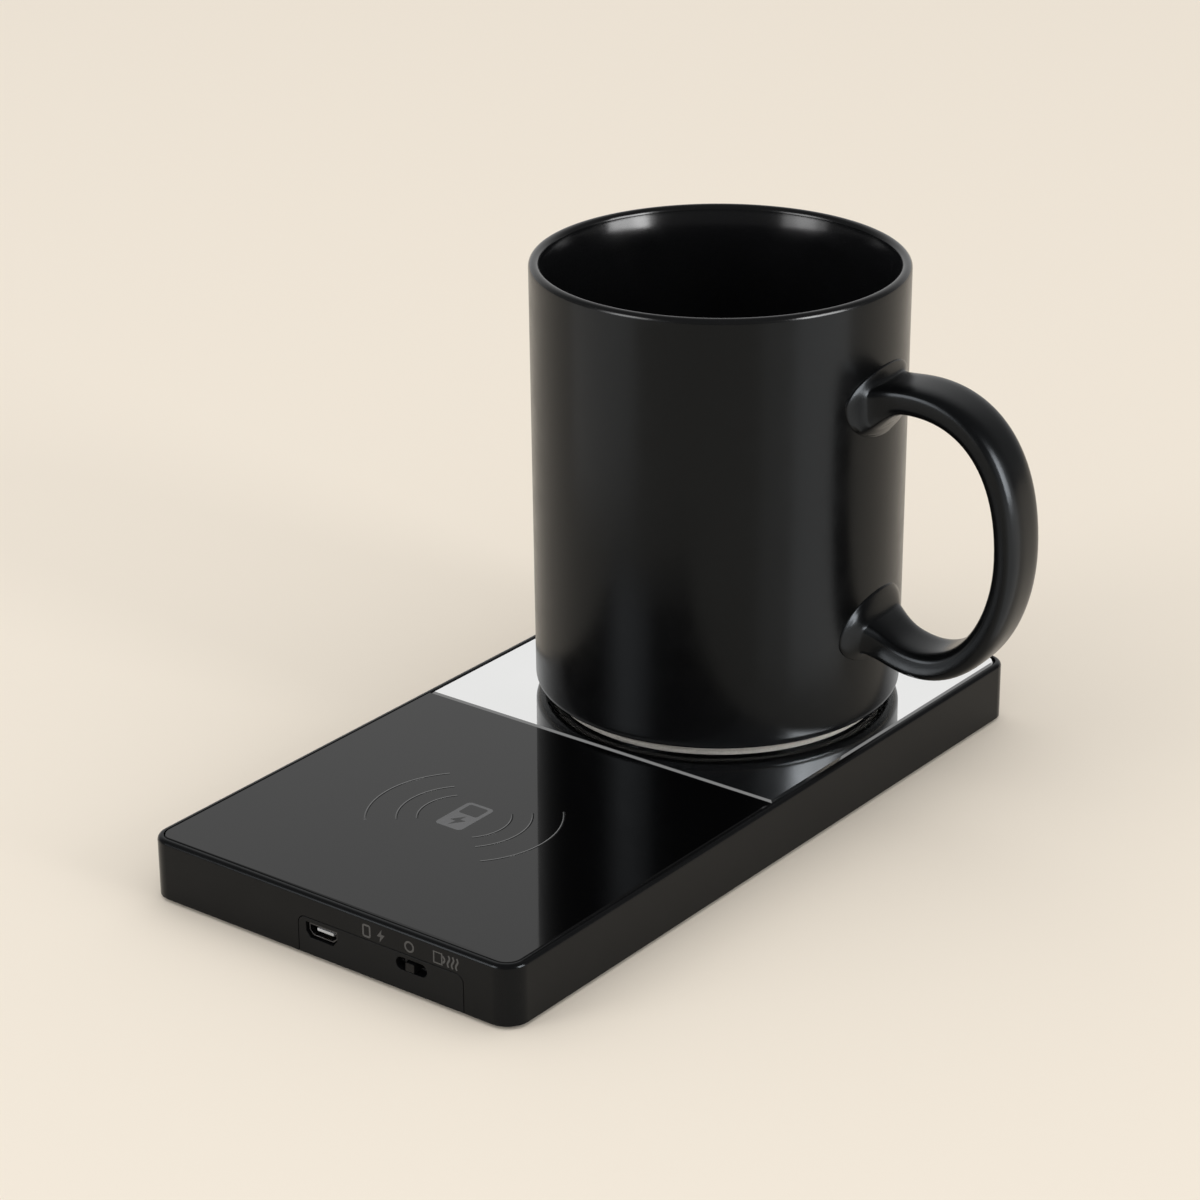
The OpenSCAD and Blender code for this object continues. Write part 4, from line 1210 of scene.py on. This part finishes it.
class MUGBASE_OT_inner(bpy.types.Operator):
    """Finish the heater, the charger's board and the wiring inside the base"""

    bl_idname = "mugbase.inner"
    bl_label = "Inner parts"

    def execute(self, context):
        epoxy = finish("chip_epoxy", (0.02, 0.02, 0.022), (0.5, 0.65), 3200, 0.004 * MM)
        fibre = (0.6, 0.56, 0.48)
        brown = (0.33, 0.22, 0.12)
        dress({
            "glass_tape": finish("foam_tape", (0.05, 0.05, 0.055), (0.85, 0.95), 3600, 0.03 * MM),
            "plate_seal": finish("grey_silicone", (0.1, 0.1, 0.105), (0.45, 0.6), 1500, 0.01 * MM),
            "heater_film": finish("amber_film", (0.46, 0.2, 0.03), (0.22, 0.34), 700, 0.004 * MM, coat=0.3),
            "heater_trace": plated("etched_foil", PALE_GREY, (0.32, 0.46)),
            "insulation_pad": finish(
                "pressed_fibre", fibre, (0.88, 0.98), 1300, 0.12 * MM, stretch=(0.2, 1, 1)
            ),
            "thermistor": finish("bead_epoxy", (0.03, 0.15, 0.05), (0.2, 0.35), 1200, 0.01 * MM, coat=0.3),
            "thermal_fuse": finish("fuse_ceramic", (0.7, 0.66, 0.55), (0.5, 0.65), 1800, 0.01 * MM),
            "ferrite_sheet": finish("sheet_ferrite", (0.07, 0.07, 0.075), (0.6, 0.78), 1700, 0.02 * MM),
            "circuit_board": circuit_mask(),
            "controller_chip": epoxy,
            "driver_chips": epoxy,
            "resonant_capacitors": finish("capacitor_ceramic", brown, (0.35, 0.5), 2600, 0.004 * MM),
            "power_inductor": finish("core_ferrite", (0.045, 0.045, 0.05), (0.6, 0.75), 1700, 0.015 * MM),
            "heater_leads": finish("red_silicone", (0.4, 0.02, 0.02), (0.4, 0.55), 900, 0.006 * MM),
            "thermistor_leads": finish("white_silicone", (0.75, 0.75, 0.7), (0.4, 0.55), 900, 0.006 * MM),
        })
        return {"FINISHED"}


# Stage


def lay_floor(look):
    """A wide pale floor under the feet."""
    bm = bmesh.new()
    bmesh.ops.create_grid(bm, x_segments=1, y_segments=1, size=FLOOR_HALF)
    floor = temporary("floor", as_mesh("floor", bm))
    floor.location.z = CAD_BOX[0][2]
    material, shader = new_material("floor_paper", specular=0.0)
    feed(material.node_tree, shader, Base_Color=(*look.ground, 1), Roughness=1.0)
    floor.data.materials.append(material)


def lamp(name, brightness, azimuth, width, distance=LAMP_DISTANCE, middle=LAMP_MIDDLE, height=LAMP_HEIGHT):
    """An upright soft lamp that faces the mug's axis, placed by degrees from the front to the right."""
    data = bpy.data.lights.new(name, "AREA")
    data.shape = "RECTANGLE"
    data.size = width
    data.size_y = height
    data.energy = brightness * math.pi * width * height
    source = bpy.data.objects.new(name, data)
    a = math.radians(azimuth)
    away = Vector((math.sin(a), -math.cos(a), 0))
    source.location = mug_axis(middle) + away * distance
    source.rotation_mode = "QUATERNION"
    source.rotation_quaternion = (-away).to_track_quat("-Z", "Y")
    source.visible_camera = False
    bpy.context.scene.collection.objects.link(source)
    return source


def glow(name, brightness, azimuth, width, **place):
    """A lamp that only shiny surfaces show."""
    source = lamp(name, brightness, azimuth, width, **place)
    source.visible_diffuse = False
    return source


def hang_lamps(look):
    """A soft lamp on either side with a glow beside it, and pale cards that show in the mug alone."""
    lamp("left_lamp", look.left_light, azimuth=-26, width=0.55)
    lamp("right_lamp", look.right_light, azimuth=88, width=0.31)
    glow("left_glow", look.left_glow, azimuth=-18, width=0.55, distance=GLOW_DISTANCE)
    glow("right_glow", look.right_glow, azimuth=98, width=0.7, distance=GLOW_DISTANCE)
    left = {"distance": LEFT_CARD_DISTANCE, "middle": CARD_MIDDLE, "height": CARD_HEIGHT}
    right = {**left, "distance": RIGHT_CARD_DISTANCE}
    shown_in = bpy.data.collections.new("shown_in_the_mug")
    shown_in.objects.link(bpy.data.objects["mug_glazed"])
    for card in (
        glow("left_card", look.left_card, azimuth=-33, width=0.16, **left),
        glow("right_card", look.right_card, azimuth=88, width=0.056, **right),
        glow("right_wide_card", look.right_card / 2, azimuth=80, width=0.09, **right),
    ):
        card.light_linking.receiver_collection = shown_in


def light_world(look):
    """Even light, and the pale surroundings that the camera, metal and glass see."""
    world = bpy.data.worlds.new("surroundings")
    bpy.context.scene.world = world
    world.use_nodes = True
    tree = world.node_tree
    tree.nodes.clear()
    path = step(tree, "LightPath")
    even = step(tree, "Background", Color=(*EVEN, 1), Strength=look.world_light)
    seen = step(tree, "Background", Color=(*look.surroundings, 1))
    mirrored = step(tree, "Background", Color=mirrored_room(tree, look))
    either = reckoned(tree, "MAXIMUM", path["Is Camera Ray"], path["Is Transmission Ray"])
    shader = even["Background"]
    for chance, sight in ((path["Is Glossy Ray"], mirrored), (either, seen)):
        mix = tree.nodes.new("ShaderNodeMixShader")
        for socket, output in zip(mix.inputs, (chance, shader, sight["Background"])):
            tree.links.new(output, socket)
        shader = mix.outputs["Shader"]
    step(tree, "OutputWorld", Surface=shader)


def mirrored_room(tree, look):
    """What shiny surfaces see: the pale wall behind the object, and a dimmer room overhead and in front."""
    along = tree.nodes.new("ShaderNodeVectorMath")
    along.operation = "DOT_PRODUCT"
    along.inputs[1].default_value = (-math.sin(CAMERA_AZIMUTH), math.cos(CAMERA_AZIMUTH), 0)
    tree.links.new(step(tree, "TexCoord")["Generated"], along.inputs[0])
    fit = tree.nodes.new("ShaderNodeMapRange")
    fit.interpolation_type = "SMOOTHSTEP"
    start, end = WALL_REACH
    feed(tree, fit, Value=along.outputs["Value"], From_Min=start, From_Max=end)
    mix = tree.nodes.new("ShaderNodeMix")
    mix.data_type = "RGBA"
    feed(tree, mix, Factor=fit.outputs["Result"])
    dim, pale = (socket for socket in mix.inputs if socket.type == "RGBA")
    dim.default_value = (*look.room, 1)
    pale.default_value = (*look.surroundings, 1)
    return next(socket for socket in mix.outputs if socket.type == "RGBA")


def set_camera():
    """The photograph's camera."""
    azimuth, elevation = CAMERA_AZIMUTH, CAMERA_ELEVATION
    back = Vector((
        math.sin(azimuth) * math.cos(elevation),
        -math.cos(azimuth) * math.cos(elevation),
        math.sin(elevation),
    ))
    right = Vector((math.cos(azimuth), math.sin(azimuth), 0))
    up = back.cross(right)
    turned_right = math.cos(CAMERA_ROLL) * right + math.sin(CAMERA_ROLL) * up
    turned_up = math.cos(CAMERA_ROLL) * up - math.sin(CAMERA_ROLL) * right
    data = bpy.data.cameras.new("camera")
    data.lens = CAMERA_LENS
    data.sensor_width = CAMERA_SENSOR
    camera = bpy.data.objects.new("camera", data)
    axes = Matrix((turned_right, turned_up, back)).transposed()
    camera.matrix_world = Matrix.Translation(CAMERA_TARGET + back * CAMERA_DISTANCE) @ axes.to_4x4()
    bpy.context.scene.collection.objects.link(camera)
    bpy.context.scene.camera = camera


class MUGBASE_OT_stage(bpy.types.Operator):
    """Lay the floor, hang the lamps and set the camera"""

    bl_idname = "mugbase.stage"
    bl_label = "Stage"

    def execute(self, context):
        look = settings("stage_look")
        lay_floor(look)
        hang_lamps(look)
        light_world(look)
        set_camera()
        context.scene.view_settings.view_transform = "Standard"
        return {"FINISHED"}


# The add-on

GROUPS = (("mug_sizes", MugSizes), ("base_finishes", BaseFinishes), ("stage_look", StageLook))
OPERATORS = (
    MUGBASE_OT_mug,
    MUGBASE_OT_housing,
    MUGBASE_OT_panels,
    MUGBASE_OT_sign,
    MUGBASE_OT_labels,
    MUGBASE_OT_socket,
    MUGBASE_OT_switch,
    MUGBASE_OT_fasteners,
    MUGBASE_OT_coil,
    MUGBASE_OT_inner,
    MUGBASE_OT_stage,
)


class MUGBASE_PT_panel(bpy.types.Panel):
    """Lists the steps that make the object"""

    bl_idname = "MUGBASE_PT_panel"
    bl_label = "Mug Base"
    bl_space_type = "VIEW_3D"
    bl_region_type = "UI"
    bl_category = "Mug Base"

    def draw(self, context):
        for operator in OPERATORS:
            self.layout.operator(operator.bl_idname)
        for group, kind in GROUPS:
            box = self.layout.box()
            for name in kind.__annotations__:
                box.prop(getattr(context.scene, group), name)


CLASSES = (*(kind for _, kind in GROUPS), *OPERATORS, MUGBASE_PT_panel)


def register():
    """Adds the classes and the scene's settings."""
    for kind in CLASSES:
        bpy.utils.register_class(kind)
    for group, kind in GROUPS:
        setattr(bpy.types.Scene, group, PointerProperty(type=kind))


def unregister():
    """Takes the settings and the classes away again."""
    for group, _ in GROUPS:
        delattr(bpy.types.Scene, group)
    for kind in reversed(CLASSES):
        bpy.utils.unregister_class(kind)


def main():
    """Makes every piece and the stage."""
    register()
    for operator in OPERATORS:
        area, task = operator.bl_idname.split(".")
        getattr(getattr(bpy.ops, area), task)()


if __name__ == "__main__":
    main()
